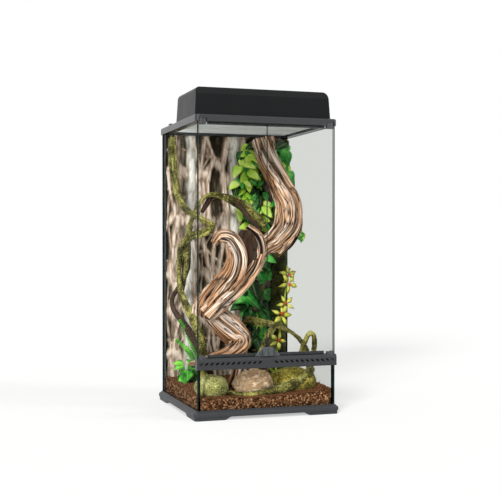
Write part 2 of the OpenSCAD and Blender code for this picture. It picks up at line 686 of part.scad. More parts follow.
// Lid: an angle-section frame, and a crossbar behind the hood's rear wall
module screen_frame() {
  yc = (lid_front + lid_back) / 2;
  dy = (lid_back - lid_front) / 2;
  bar_y = hood_rear + 6;
  color("#3c3f41") {
    translate([0, yc, 0]) {
      band(lid_x, dy, lid_x - rail_w, dy - rail_w, lid_z, lid_z + lid_flange);
      band(lid_x, dy, lid_x - lid_wall, dy - lid_wall, lid_z + lid_flange, lid_top);
    }
    box([-lid_x + lid_wall, bar_y, lid_z + lid_flange + mesh_t],
      [lid_x - lid_wall, bar_y + crossbar_w, lid_top - 3]);
  }
}
module screen_mesh() {
  w = 2 * (lid_x - lid_wall);
  d = lid_back - lid_front - 2 * lid_wall;
  sx = (w - wire_w) / mesh_gaps;
  sy = (d - wire_w) / mesh_gaps;
  color("#b9bfb9")
    translate([-w / 2, lid_front + lid_wall, lid_z + lid_flange])
      linear_extrude(mesh_t)
        difference() {
          square([w, d]);
          for (i = [0 : mesh_gaps - 1], j = [0 : mesh_gaps - 1])
            translate([wire_w + i * sx, wire_w + j * sy]) square([sx - wire_w, sy - wire_w]);
        }
}

// Outer form of the hood, drawn in by an inset: the end view and the side view crossed
module hood_form(inset) {
  a = hood_w / 2 - inset;
  b = a - hood_lean;
  r = hood_r - min(inset, hood_r - 1);
  z0 = rim_z - (inset > 0 ? 1 : 0);
  z1 = hood_top - inset;
  y0 = hood_y + inset;
  y1 = hood_rear - inset;
  steps = 8;
  intersection() {
    rotate([90, 0, 0])
      linear_extrude(2 * tank_d, center = true)
        polygon(concat([[-a, z0], [a, z0]],
          [for (k = [0 : steps]) [b - r + r * cos(90 * k / steps), z1 - r + r * sin(90 * k / steps)]],
          [for (k = [steps : -1 : 0]) [-b + r - r * cos(90 * k / steps), z1 - r + r * sin(90 * k / steps)]]));
    rotate([90, 0, 90])
      linear_extrude(2 * tank_w, center = true)
        polygon([[y0, z0], [y0 + hood_lean, hood_top - bevel_h - inset * 0.4],
          [y0 + hood_lean + bevel_d, z1], [y1 - hood_lean - 5, z1], [y1 - hood_lean, z1 - 5], [y1, z0]]);
  }
}
module hood_housing() {
  slots = 17;
  pitch = 9;
  slot_wide = 3;
  post_r = 4;
  color("#222425") {
    difference() {
      hood_form(0);
      hood_form(hood_wall);
      for (k = [0 : slots - 1])
        translate([(k - (slots - 1) / 2) * pitch - slot_wide / 2, hood_rear - 12, rim_z + hood_h * 0.5])
          cube([slot_wide, 20, hood_h * 0.3]);
      translate([gland_x, hood_rear, gland_z])
        rotate([90, 0, 0]) cylinder(r = cord_hole_r + 2, h = 30, center = true);
    }
    for (x = [-post_x, post_x])
      translate([x, lamp_y, reflector_top])
        cylinder(r = post_r, h = hood_top - hood_wall - reflector_top + 0.5);
  }
}
module reflector() {
  top = hood_d * 0.27;
  foot = hood_d * 0.42;
  low = rim_z + 6;
  color("#d8dadc")
    rotate([90, 0, 90])
      linear_extrude(2 * reflector_x, center = true)
        translate([lamp_y, 0])
          polygon([[-foot, low], [-top, reflector_top], [top, reflector_top], [foot, low],
            [foot - sheet_t, low], [top - sheet_t, reflector_top - sheet_t],
            [-top + sheet_t, reflector_top - sheet_t], [-foot + sheet_t, low]]);
}
module lampholder(s) {
  color("#e6e4de")
    mirror([s, 0, 0])
      intersection() {
        difference() {
          translate([mouth_x, lamp_y, lamp_z]) rotate([0, 90, 0]) cylinder(r = holder_r, h = 60);
          translate([mouth_x - 1, lamp_y, lamp_z]) rotate([0, 90, 0]) cylinder(r = cap_r, h = cap_len + 1);
        }
        hood_form(hood_wall);
      }
}
module lampholder_left() { lampholder(1); }
module lampholder_right() { lampholder(0); }
module bulb(s) {
  steps = 12;
  color("#f4f1e6")
    mirror([s, 0, 0])
      translate([mouth_x + cap_len, lamp_y, lamp_z])
        rotate([0, -90, 0])
          rotate_extrude()
            polygon(concat([[0, 0], [cap_r, 0], [cap_r, cap_len]],
              [for (k = [1 : steps - 1])
                  [cap_r * (1 - k / steps) ^ 2 + bulb_r * sin(180 * (k / steps) ^ 1.3),
                    cap_len + bulb_len * k / steps]],
              [[0, cap_len + bulb_len]]));
}
module bulb_left() { bulb(1); }
module bulb_right() { bulb(0); }
module cord_gland() {
  color("#17181a")
    translate([gland_x, 0, gland_z]) {
      difference() {
        union() {
          translate([0, hood_rear - 10, 0]) rotate([-90, 0, 0]) cylinder(r = cord_hole_r + 2, h = 12);
          difference() {
            translate([0, hood_rear - 4, 0]) rotate([-90, 0, 0]) cylinder(r = cord_hole_r + 5, h = 6);
            translate([-gland_x, 0, -gland_z]) hood_form(0);
          }
        }
        translate([0, hood_rear - 11, 0]) rotate([-90, 0, 0]) cylinder(r = cord_hole_r, h = 20);
      }
    }
}

// Height of the ground over the bottom pane
function ground(x, y) = ground_h + ground_rise * (y / in_d + 1) / 2 + 12 * max(0, x / in_w) ^ 2
  + 4 * (x / in_w) ^ 2 + 1.6 * sin(11 * x) * cos(9 * y) + 1.2 * sin(7 * x + 13 * y);
module ground_form() {
  d = 2 * in_d - back_t;
  translate([0, -back_t / 2, floor_z]) relief(2 * in_w, d, 20, 20, function(x, y) ground(x, y));
}
module substrate() {
  color("#6b4030")
    joined() difference() {
      ground_form();
      translate([0, 0, -1]) silicone_seams();
      silicone_seams();
    }
}

// Trunks and roots of the background, as heights from 0 to 1
function hump(t, w) = max(0, 1 - (t / w) ^ 2);
function trunk(x, z, at, sway, w) = hump(x - at - sway * sin(z / 2.6), w);
function root(x, z, at, lean, w) = 0.75 * hump(x - at - lean * z - 9 * sin(z * 1.1 + at), w);
function bark(x, z) = max([trunk(x, z, -168, 7, 30), trunk(x, z, 22, 5, 26), 0.8 * trunk(x, z, 158, -9, 34),
      root(x, z, -108, 0.05, 13), root(x, z, -66, -0.1, 12), root(x, z, -20, 0.04, 11),
      root(x, z, 72, 0.12, 14), root(x, z, 104, -0.1, 12), 0.3 * hump(x + 212, 14)]);
module background() {
  h = top_z - floor_z - 1;
  color("#a89888")
    translate([0, in_d, floor_z + h / 2])
      rotate([90, 0, 0])
        relief(2 * (in_w - seam_t), h, 34, 30, function(x, y)
          back_t + relief_h * bark(x, y) * min(1, max(0, (y + h / 2 - relief_from) / relief_run)));
}

wood_lobes = [[3, 0.1, 9], [7, 0.06, 9], [11, 0.04, 9]];
module driftwood() {
  color("#c89a78")
    joined() difference() {
      union() {
        rope(laid(wood_arm), 26, 3, wood_lobes);
        rope(laid(wood_coil), 22, 3, wood_lobes);
        rope(laid(wood_trunk), 22, 3, wood_lobes);
        rope(laid(wood_foot), 16, 3, [[3, 0.1, 12]]);
        rope(laid(wood_strand), 10, 3);
        rope(laid(wood_ribbon), 10, 3);
        rope(laid(wood_web), 10, 3, [], 0.36);
      }
      ground_form();
    }
}

module mossy_vine() {
  color("#6b6a2e")
    joined() difference() {
      rope(laid(vine_left), 10, 2, [[3, 0.08, 20]]);
      driftwood();
      ground_form();
    }
}
module arch_vine() {
  color("#7a7834")
    joined() difference() {
      rope(laid(vine_arch), 9, 2, [[3, 0.08, 20]]);
      driftwood();
      mossy_vine();
    }
}
module brown_vine() {
  color("#4a3428")
    joined() difference() {
      rope(laid(vine_brown), 9, 2);
      driftwood();
      arch_vine();
    }
}
module right_vine() {
  color("#6b6a2e")
    joined() difference() {
      union() {
        rope(laid(vine_right), 10, 2, [[3, 0.08, 20]]);
        rope(laid(vine_branch), 10, 2, [[3, 0.08, 20]]);
        rope(laid(vine_loop), 8, 2);
      }
      driftwood();
      ground_form();
    }
}
module mossy_column() {
  color("#35331a")
    joined() difference() {
      rope([for (p = column_route) lay([p[0], p[1], p[2], p[3] * 2 * column_r])], 16, 3, [[5, 0.06, 8]]);
      ground_form();
    }
}

// Leaves on both sides of a stem, turned by a fixed draw
module leafy_stem(route, seed, sides) {
  path = smooth(laid(route), 2);
  draw = rands(-1, 1, 4 * len(path), seed);
  rope(laid(route), sides, 2);
  for (k = [1 : len(path) - 2])
    let (s = k % 2 == 0 ? 1 : -1, a = 90 + s * 75 + 25 * draw[k])
      translate(spot(path[k]) - [0, path[k][3] * leaf_set, 0])
        rotate([0, -a, 0])
          rotate([78 + 10 * draw[2 * k], -6, 0])
            leaf(leaf_len * (1 + 0.25 * draw[3 * k]), leaf_len * 0.62, 1);
}
module ivy() {
  color("#1c7040")
    joined() difference() {
      intersection() {
        union() for (k = [0 : len(ivy_stems) - 1]) leafy_stem(ivy_stems[k], 11 + k, 5);
        box([-in_w + seam_t, -in_d, floor_z], [in_w - seam_t, in_d, top_z - 1]);
      }
      driftwood();
      mossy_column();
      ground_form();
      background();
    }
}

module flower(p, a) {
  translate(spot(p))
    rotate([90, a, 0]) {
      for (k = [0 : 4]) rotate([0, 12, 72 * k]) leaf(flower_d / 2, flower_d * 0.2, 1.2, true);
      translate([0, 0, -3]) cylinder(r = 3.5, h = 9, $fn = 6);
    }
}
module orchid() {
  stem = smooth(laid(orchid_stem), 2);
  color("#9fae2a")
    joined() difference() {
      union() {
        rope(laid(orchid_stem), 6, 2);
        for (k = [3 : 9]) flower(stem[k] - [(k % 2) * 8 - 3, 6, 0, 0], 40 * k);
        for (k = [0 : 4])
          translate(spot(stem[0]) + [0, 0, orchid_leaf_rise])
            rotate([0, -20 - 32 * k, 50 * k - 20]) leaf(orchid_leaf[0], orchid_leaf[1], 1.2);
      }
      ground_form();
      driftwood();
      right_vine();
    }
}

module broadleaf() {
  x = plant_at[0] * stretch[0];
  y = plant_at[1] * stretch[1];
  at = [x, y, floor_z + ground(x, y) - 3];
  color("#1f8a3a")
    joined() difference() {
      intersection() {
        union() {
          lump(at, plant_size, 4, 9, 0.05);
          for (k = [0 : 6])
            let (top = 44 + 8 * (k % 3), lean = 30 - 20 * (k % 3))
              translate(at) rotate([0, 0, 50 * k + 7]) {
                rope([[6, 0, 0, 4.6], [8, 0, 26, 4], [12, 0, top, 3]], 5, 2);
                translate([11, 0, top]) rotate([0, lean, 0]) leaf(plant_leaf, plant_leaf * 0.8, 1.2);
              }
        }
        box([-in_w + gap, -in_d, floor_z], [in_w - gap, in_d - back_t, top_z]);
      }
      ground_form();
      mossy_vine();
      driftwood();
      fern();
    }
}
module fern() {
  color("#1f7f38")
    joined() difference() {
      union() for (f = fern_leaves) rope(laid(f), 6, 3, [], 0.18);
      ground_form();
      mossy_vine();
      driftwood();
    }
}

module moss_ball() {
  color("#9aa860")
    joined() difference() {
      lump(spot(lay(ball_at)), sized(ball_size), 12, 18, 0.03);
      ground_form();
    }
}
module rock_mound() {
  color("#8a6a4c")
    joined() difference() {
      lump(spot(lay(rock_at)), sized(rock_size), 9, 14, 0.05);
      ground_form();
      driftwood();
      right_vine();
    }
}
module moss_mound() {
  color("#8f9a2e")
    joined() difference() {
      lump(spot(lay(mound_at)), sized(mound_size), 10, 16, 0.04);
      ground_form();
      rock_mound();
      right_vine();
    }
}
module ground_root() {
  color("#555a34")
    joined() difference() {
      rope(laid(root_route), 10, 2, [[3, 0.08, 20]]);
      ground_form();
      moss_ball();
      rock_mound();
      moss_mound();
      right_vine();
    }
}

base_frame();
bottom_pane();
left_pane();
right_pane();
back_pane();
front_lower_pane();
silicone_seams();
vent_strip();
vent_gauze();
door_catch();
top_frame();
left_door_glass();
right_door_glass();
left_lower_clip();
left_upper_clip();
right_lower_clip();
right_upper_clip();
left_handle();
right_handle();
screen_frame();
screen_mesh();
lid_lock_left();
lid_lock_right();
lock_screws();
inlet_shutter_left();
inlet_shutter_right();
hood_housing();
reflector();
lampholder_left();
lampholder_right();
bulb_left();
bulb_right();
cord_gland();
substrate();
background();
driftwood();
mossy_vine();
arch_vine();
brown_vine();
right_vine();
ground_root();
mossy_column();
ivy();
orchid();
broadleaf();
fern();
moss_ball();
rock_mound();
moss_mound();
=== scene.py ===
"""Tall planted terrarium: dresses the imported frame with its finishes, wood, moss and plants."""
import math
from contextlib import contextmanager

import bmesh
import bpy
import numpy as np
from bpy.props import FloatProperty, FloatVectorProperty, IntProperty, PointerProperty
from bpy.types import Operator, Panel, PropertyGroup
from mathutils import Matrix, Vector


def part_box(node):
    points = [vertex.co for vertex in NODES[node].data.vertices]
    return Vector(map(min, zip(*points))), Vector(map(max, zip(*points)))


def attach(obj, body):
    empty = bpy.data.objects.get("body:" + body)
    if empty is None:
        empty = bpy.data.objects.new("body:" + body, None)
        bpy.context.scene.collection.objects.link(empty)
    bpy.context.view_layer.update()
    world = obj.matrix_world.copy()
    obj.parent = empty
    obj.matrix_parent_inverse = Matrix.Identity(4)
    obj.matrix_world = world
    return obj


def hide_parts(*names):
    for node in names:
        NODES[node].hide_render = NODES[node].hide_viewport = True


bl_info = {
    "name": "Planted Terrarium",
    "version": (1, 0, 0),
    "blender": (4, 5, 0),
    "location": "View3D > Sidebar > Terrarium",
    "description": "Builds the finishes, wood, moss and plants of a tall glass terrarium round its frame",
    "category": "Object",
}

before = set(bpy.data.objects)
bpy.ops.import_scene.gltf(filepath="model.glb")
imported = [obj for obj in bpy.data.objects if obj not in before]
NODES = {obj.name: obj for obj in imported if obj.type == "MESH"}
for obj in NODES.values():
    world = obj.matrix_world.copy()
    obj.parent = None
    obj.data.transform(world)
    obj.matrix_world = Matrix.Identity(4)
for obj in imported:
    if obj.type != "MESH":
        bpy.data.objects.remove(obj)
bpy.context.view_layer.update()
TANK = "tank"
MM = 0.001
MOULD_GRAIN = 0.6 * MM
BARK_CHIP = 5.0 * MM
WHITE = (1.0, 1.0, 1.0, 1.0)

# The level of the soft light from all round, and how wide each lamp looks in degrees
SOFT_LIGHT = 0.4
LAMP_ANGLE = 14

# In millimetres: ivy leaves are larger and sparser below the first height, where most wear the shaded copy
# of the leaf finish, a painted shade, and above the second to the left of a line most wear the bright copy,
# a painted light
IVY_LOW = 430
IVY_LIT = 450
IVY_LIT_SIDE = 88

# The tufts on the vines and the run of the wood's grain in millimetres, and the least painted shade on the
# wood low on its trunk and foot and on the web in its hollow
VINE_TUFT = 1.8
WOOD_GRAIN = 130.0
LOW_WOOD_SHADE = 0.3
HOLLOW_WOOD_SHADE = 0.96

# The furnishing stands between the panes, on the bottom pane and under the top frame
FLOOR_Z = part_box("bottom_pane")[1][2]
ROOF_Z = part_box("top_frame")[0][2] + 0.008
INNER_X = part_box("front_lower_pane")[1][0]
INNER_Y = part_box("back_pane")[0][1]


# Numbers and colours

def linear(code):
    """An sRGB hex colour as linear red, green, blue and alpha."""
    parts = [int(code[i:i + 2], 16) / 255 for i in (0, 2, 4)]
    return tuple(p / 12.92 if p <= 0.04045 else ((p + 0.055) / 1.055) ** 2.4 for p in parts) + (1.0,)


def soft_noise(x, y, z, seed=0):
    """A smooth random field from -1 to 1 with one cell a unit."""
    cell = [np.floor(v).astype(np.int64) for v in (x, y, z)]
    part = [v - c for v, c in zip((x, y, z), cell)]
    part = [p * p * (3 - 2 * p) for p in part]
    total = 0
    for corner in range(8):
        steps = [(corner >> axis) & 1 for axis in range(3)]
        key = ((cell[0] + steps[0]) * 374761393 + (cell[1] + steps[1]) * 668265263
               + (cell[2] + steps[2]) * 1442695041 + seed * 69069) & 0xFFFFFFFF
        key = ((key ^ (key >> 13)) * 1274126177) & 0xFFFFFFFF
        value = ((key ^ (key >> 16)) & 0xFFFF) / 32767.5 - 1
        weight = 1
        for p, s in zip(part, steps):
            weight = weight * (p if s else 1 - p)
        total = total + value * weight
    return total


def crease(field, width):
    """1 along the lines where a field is zero, falling off over a width."""
    return np.exp(-(field / width) ** 2)


# Meshes

def linked(name, data):
    """A new object in the scene."""
    item = bpy.data.objects.new(name, data)
    bpy.context.scene.collection.objects.link(item)
    return item


@contextmanager
def edited(mesh):
    """A mesh open for editing, written back at the end."""
    work = bmesh.new()
    work.from_mesh(mesh)
    yield work
    work.to_mesh(mesh)
    work.free()


def piece_from(name, verts, faces, materials, smooth=True):
    """A new object whose place is in its mesh."""
    mesh = bpy.data.meshes.new(name)
    mesh.from_pydata([tuple(v) for v in verts], [], [tuple(int(i) for i in f) for f in faces])
    mesh.update()
    if smooth:
        mesh.shade_smooth()
    for material in materials:
        mesh.materials.append(material)
    return linked(name, mesh)


def note(mesh, name, values):
    """Stores a number or a vector for each point of a mesh, which its material reads."""
    values = np.asarray(values, dtype=np.float32)
    vector = values.ndim == 2
    layer = mesh.attributes.new(name, "FLOAT_VECTOR" if vector else "FLOAT", "POINT")
    layer.data.foreach_set("vector" if vector else "value", values.ravel())


def smooth_route(points, steps):
    """A smooth curve through points, each of them x, y, z and thickness."""
    p = np.array(points, dtype=float)
    last = len(p) - 1
    out = []
    for i in range(last):
        a, b, c, d = p[max(i - 1, 0)], p[i], p[i + 1], p[min(i + 2, last)]
        for t in np.arange(steps) / steps:
            out.append(0.5 * (2 * b + (c - a) * t + (2 * a - 5 * b + 4 * c - d) * t ** 2
                              + (3 * b - a - 3 * c + d) * t ** 3))
    out.append(p[last])
    return np.array(out)


def unit(vectors):
    """Vectors brought to a length of one."""
    return vectors / np.linalg.norm(vectors, axis=-1, keepdims=True)


def route_frame(centre):
    """The unit vectors along a route and across it, two ways."""
    tangent = unit(np.gradient(centre, axis=0))
    side = unit(np.cross(tangent, [0, 1, 0]))
    return tangent, side, np.cross(tangent, side)


def ring_walls(rings, n):
    """The four-sided faces between rings of n points."""
    return [(k * n + j, k * n + (j + 1) % n, (k + 1) * n + (j + 1) % n, (k + 1) * n + j)
            for k in range(rings - 1) for j in range(n)]


class Rope:
    """Points round a route: angle, length along it and thickness, for a shape to push in or out."""

    def __init__(self, route, sides, steps):
        path = smooth_route(route, steps) * MM
        self.centre = path[:, :3]
        self.radius = path[:, 3:4] / 2
        _, self.side, self.up = route_frame(self.centre)
        step = np.linalg.norm(np.diff(self.centre, axis=0), axis=1)
        self.along = np.concatenate([[0], np.cumsum(step)])[:, None]
        self.angle = np.linspace(0, 2 * math.pi, sides, endpoint=False)[None, :]
        self.sides = sides

    def points(self, swell):
        """The rings, each point at its radius times swell."""
        reach = self.radius * swell
        across = np.cos(self.angle) * reach
        rise = np.sin(self.angle) * reach
        ring = (self.centre[:, None, :] + self.side[:, None, :] * across[:, :, None]
                + self.up[:, None, :] * rise[:, :, None])
        return ring.reshape(-1, 3)

    def faces(self):
        """Walls between rings and a closed fan at each end."""
        rings, n = len(self.centre), self.sides
        walls = ring_walls(rings, n)
        first, final = rings * n, rings * n + 1
        for j in range(n):
            nxt = (j + 1) % n
            walls.append((first, nxt, j))
            walls.append((final, (rings - 1) * n + j, (rings - 1) * n + nxt))
        return walls

    def ends(self):
        """The points that close the two ends."""
        return np.array([self.centre[0], self.centre[-1]])

    def flow(self):
        """Where each point is on the rope laid out straight, for grain that follows it."""
        a = self.angle
        straight = np.stack([np.cos(a) * self.radius, np.sin(a) * self.radius, self.along + 0 * a], axis=-1)
        tips = [[0, 0, 0], [0, 0, self.along[-1, 0]]]
        return np.concatenate([straight.reshape(-1, 3), tips])


def joined(name, parts, materials, fields=("crease",)):
    """One object from several lists of points, faces and their stored numbers."""
    verts, faces, noted, base = [], [], {f: [] for f in fields}, 0
    for points, walls, values in parts:
        verts.append(points)
        faces.extend([tuple(i + base for i in f) for f in walls])
        for f in fields:
            noted[f].append(values[f])
        base += len(points)
    piece = piece_from(name, np.concatenate(verts), faces, materials)
    for f in fields:
        note(piece.data, f, np.concatenate(noted[f]))
    tidy_normals(piece)
    return piece


def tidy_normals(piece):
    """Turns every face outwards."""
    with edited(piece.data) as work:
        bmesh.ops.recalc_face_normals(work, faces=work.faces)


def dress(piece, body, slot, *nodes):
    """Fixes a finished piece to its body and hides the nodes of the frame it stands for."""
    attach(piece, body)
    if nodes:
        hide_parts(*nodes)
    return piece


def paint(material, *names):
    """Gives nodes of the frame a finish."""
    for name in names:
        mesh = NODES[name].data
        mesh.materials.clear()
        mesh.materials.append(material)


# Materials and node trees

def add(tree, kind, links=None, **settings):
    """Adds one node with its settings, and its inputs as values or as sockets to link."""
    node = tree.nodes.new(kind)
    for key, value in settings.items():
        setattr(node, key, value)
    for key, value in (links or {}).items():
        if isinstance(value, bpy.types.NodeSocket):
            tree.links.new(value, node.inputs[key])
        else:
            node.inputs[key].default_value = value
    return node


class Nodes:
    """A node tree under way: each method adds a node and gives the socket of it that is used."""

    def __init__(self, tree, owner=None):
        self.tree, self.owner = tree, owner
        tree.nodes.clear()

    def put(self, kind, output, links=None, **settings):
        """Any node."""
        return add(self.tree, kind, links, **settings).outputs[output]

    def place(self):
        """Where a point is on its object."""
        return self.put("ShaderNodeTexCoord", "Object")

    def stored(self, name, output="Fac"):
        """What the mesh holds for each point."""
        return self.put("ShaderNodeAttribute", output, attribute_name=name)

    def mapped(self, place, scale, turn=(0.0, 0.0, 0.0)):
        """Places scaled and turned for a pattern."""
        return self.put("ShaderNodeMapping", "Vector", {"Vector": place, "Scale": scale, "Rotation": turn})

    def noise(self, place, scale, detail=2.0, output="Fac", **more):
        """A cloudy pattern with its scale in cells a metre."""
        return self.put("ShaderNodeTexNoise", output,
                        {"Vector": place, "Scale": scale, "Detail": detail, **more})

    def cells(self, place, scale):
        """A pattern of cells: the distance from the middle of each, and a shade of its own."""
        node = add(self.tree, "ShaderNodeTexVoronoi", {"Vector": place, "Scale": scale})
        shade = self.put("ShaderNodeSeparateColor", "Red", {"Color": node.outputs["Color"]})
        return node.outputs["Distance"], shade

    def calc(self, operation, *values):
        """A calculation with one or two values."""
        return self.put("ShaderNodeMath", "Value", dict(enumerate(values)), operation=operation)

    def from_half(self, value):
        """How far a value is from a half: 0 along the lines where a pattern crosses it."""
        return self.calc("ABSOLUTE", self.calc("SUBTRACT", value, 0.5))

    def ranged(self, value, low, high, start=0.0, stop=1.0):
        """A value from start to stop brought to low to high."""
        return self.put("ShaderNodeMapRange", "Result", {"Value": value, "From Min": start, "From Max": stop,
                                                         "To Min": low, "To Max": high})

    def mixed(self, factor, first, second, **settings):
        """A mix of two colours."""
        return self.put("ShaderNodeMix", 2, {"Factor": factor, 6: first, 7: second}, data_type="RGBA",
                        **settings)

    def ramp(self, factor, *stops):
        """A colour ramp with stops of a place and a hex colour."""
        node = add(self.tree, "ShaderNodeValToRGB", {"Fac": factor})
        band = node.color_ramp
        while len(band.elements) < len(stops):
            band.elements.new(0.5)
        for element, (place, code) in zip(band.elements, stops):
            element.position = place
            element.color = linear(code)
        return node.outputs["Color"]

    def toned(self, code, level):
        """A hex colour made lighter or darker."""
        return self.put("ShaderNodeHueSaturation", "Color", {"Color": linear(code), "Value": level})

    def raised(self, height, strength, distance, invert=False):
        """A bump."""
        return self.put("ShaderNodeBump", "Normal", {"Height": height, "Strength": strength,
                                                     "Distance": distance}, invert=invert)

    def coat(self, colour, rough, normal=None, gloss=0.5, sheen=0.0, **more):
        """The principled shader."""
        links = {"Base Color": colour, "Roughness": rough, "Specular IOR Level": gloss,
                 "Sheen Weight": sheen, **more}
        if normal is not None:
            links["Normal"] = normal
        return self.put("ShaderNodeBsdfPrincipled", "BSDF", links)

    def either(self, share, first, second):
        """A mix of two shaders."""
        return self.put("ShaderNodeMixShader", "Shader", {0: share, 1: first, 2: second})

    def seen(self):
        """1 for a ray from the camera, a reflection or a transparent thing, and 0 for light itself."""
        path = add(self.tree, "ShaderNodeLightPath").outputs
        seen = self.calc("MAXIMUM", path["Is Camera Ray"], path["Is Glossy Ray"])
        return self.calc("MAXIMUM", seen, path["Is Transmission Ray"])

    def surface(self, shader):
        """Ends a material with its shader, and gives the material."""
        add(self.tree, "ShaderNodeOutputMaterial", {"Surface": shader})
        return self.owner


def blank(name):
    """The nodes of a new material."""
    material = bpy.data.materials.new(name)
    material.use_nodes = True
    return Nodes(material.node_tree, material)


def moulded(name, code, rough, depth=0.08, wear=0.12, gloss=0.25):
    """Moulded ABS: an even colour, a fine eroded grain and slightly duller patches."""
    n = blank(name)
    place = n.place()
    patch = n.noise(place, 14.0, 4.0)
    tone = n.toned(code, n.ranged(patch, 1 - wear, 1 + wear))
    dull = n.ranged(patch, rough - 0.06, rough + 0.08)
    bump = n.raised(n.noise(place, 1 / MOULD_GRAIN, 3.0), depth, MOULD_GRAIN * 0.5)
    return n.surface(n.coat(tone, dull, bump, gloss, IOR=1.53))


def float_glass(name, tint):
    """Float glass: clear with a faint tint, and reflections that rise at a slant."""
    n = blank(name)
    facing = n.put("ShaderNodeLayerWeight", "Facing", {"Blend": 0.5})
    share = n.ranged(n.calc("POWER", facing, 5.0), 0.0, 0.02)
    clear = n.put("ShaderNodeBsdfTransparent", "BSDF", {"Color": tuple(tint) + (1.0,)})
    sheen = n.put("ShaderNodeBsdfGlossy", "BSDF", {"Color": (0.85, 0.9, 0.88, 1.0), "Roughness": 0.01})
    return n.surface(n.either(share, clear, sheen))


def glass_edge():
    """The ground edge of float glass: iron makes it a deep bottle green."""
    n = blank("ground_glass_edge")
    colour = n.ramp(n.noise(n.place(), 60.0), (0.3, "06130f"), (0.7, "0f261f"))
    return n.surface(n.coat(colour, 0.3, gloss=0.12))


def smoky_acrylic():
    """Clear grey acrylic: see-through in the middle, bright and dense where it turns away."""
    n = blank("smoky_acrylic")
    dense = n.ranged(n.put("ShaderNodeLayerWeight", "Facing", {"Blend": 0.42}), 0.34, 0.85)
    clear = n.put("ShaderNodeBsdfTransparent", "BSDF", {"Color": linear("c4c8ca")})
    return n.surface(n.either(dense, clear, n.coat(linear("6a6f71"), 0.12, IOR=1.49)))


def plain_metal(name, code, rough, stretch=(1.0, 1.0, 1.0)):
    """Rolled or drawn metal with fine marks along its length."""
    n = blank(name)
    marks = n.noise(n.mapped(n.place(), stretch), 900.0)
    return n.surface(n.coat(linear(code), n.ranged(marks, rough - 0.08, rough + 0.1), Metallic=1.0))


def glazed(name, code, rough=0.18):
    """Glazed ceramic or opal glass: smooth, white and softly bright."""
    n = blank(name)
    bump = n.raised(n.noise(n.place(), 120.0), 0.04, 0.0004)
    return n.surface(n.coat(linear(code), rough, bump, IOR=1.5))


def weathered_wood(crack_and_shade_colour):
    """Sandblasted driftwood: pale ridges, tan flanks and nearly black cracks along the grain, drawn partly
    as the wood's own dark grain and partly as painted shade, with more painted shade from the stored crease.
    """
    n = blank("weathered_driftwood")
    depth = n.stored("crease")
    flow = n.stored("flow", "Vector")
    # Long cracks 11 mm apart, growth lines 5 mm apart and broad bands 18 mm apart
    split, lines, bands = (n.noise(n.mapped(flow, way), 1.0)
                           for way in ((92, 92, 8), (210, 210, 12), (55, 55, 5)))
    half = n.put("ShaderNodeMix", "Result", {"Factor": 0.4, "A": bands, "B": lines}, data_type="FLOAT")
    body = n.ramp(half, (0.36, "9a6440"), (0.44, "d6a074"), (0.51, "f0c8a6"), (0.6, "ffecdc"))
    share = n.ranged(n.noise(n.place(), 14.0, 4.0), 0.0, 0.2, 0.4, 0.7)
    warm = n.mixed(share, body, linear("a06c46"), blend_type="MULTIPLY")
    # Painted shade: the crack lines and the stored crease, which holds the creases, the gaps between
    # strands, the low trunk and the web, mix towards the crack colour
    line = n.ranged(n.from_half(split), 0.97, 0.0, 0.008, 0.036)
    cracks = n.calc("MAXIMUM", line, depth)
    dark = n.mixed(cracks, warm, tuple(crack_and_shade_colour) + (1.0,))
    bump = n.raised(n.calc("SUBTRACT", lines, cracks), 0.7, 0.002)
    return n.surface(n.coat(dark, 0.7, bump, 0.1))


def mossy(name, deep, middle, bright, tuft_mm):
    """Moss or moss-flocked foam: dark between the tufts, a painted shade, and yellow-green on their tips."""
    n = blank(name)
    place = n.place()
    tufts = n.noise(place, 1 / (tuft_mm * MM), 4.0, Roughness=0.7)
    half = n.calc("MULTIPLY", n.calc("ADD", tufts, n.noise(place, 22.0, 3.0)), 0.5)
    # Painted shade: the same pattern that raises the tufts draws them dark where they are low
    colour = n.ramp(half, (0.42, deep), (0.5, middle), (0.58, bright))
    return n.surface(n.coat(colour, 0.9, n.raised(tufts, 1.0, tuft_mm * MM * 0.5), 0.06, 0.1))


def leaf_skin(name, deep, middle, bright, rough=0.38):
    """A waxy leaf: patches of three greens, a pale midrib and softly raised veins from its own map."""
    n = blank(name)
    coords = add(n.tree, "ShaderNodeTexCoord").outputs
    part = add(n.tree, "ShaderNodeSeparateXYZ", {"Vector": coords["UV"]}).outputs
    patch = n.noise(coords["Object"], 26.0)
    colour = n.ramp(patch, (0.3, deep), (0.5, middle), (0.72, bright))
    away = n.from_half(part["Y"])
    pale = n.mixed(n.ranged(away, 0.5, 0.0, 0.0, 0.045), colour, linear("b6cf7a"))
    veins = n.calc("SINE", n.calc("MULTIPLY", n.calc("SUBTRACT", away, part["X"]), 62.0))
    return n.surface(n.coat(pale, rough, n.raised(veins, 0.35, 0.0006), 0.22))


def petal_skin():
    """Orchid petals: yellow-green with brown spots."""
    n = blank("spotted_petal")
    place = n.place()
    spots = n.put("ShaderNodeTexVoronoi", "Distance", {"Vector": place, "Scale": 330.0})
    colour = n.ramp(n.noise(place, 60.0), (0.35, "b2b62c"), (0.65, "e6e66e"))
    return n.surface(n.coat(n.mixed(n.ranged(spots, 0.75, 0.0, 0.2, 0.3), colour, linear("8a5a1c")), 0.45))


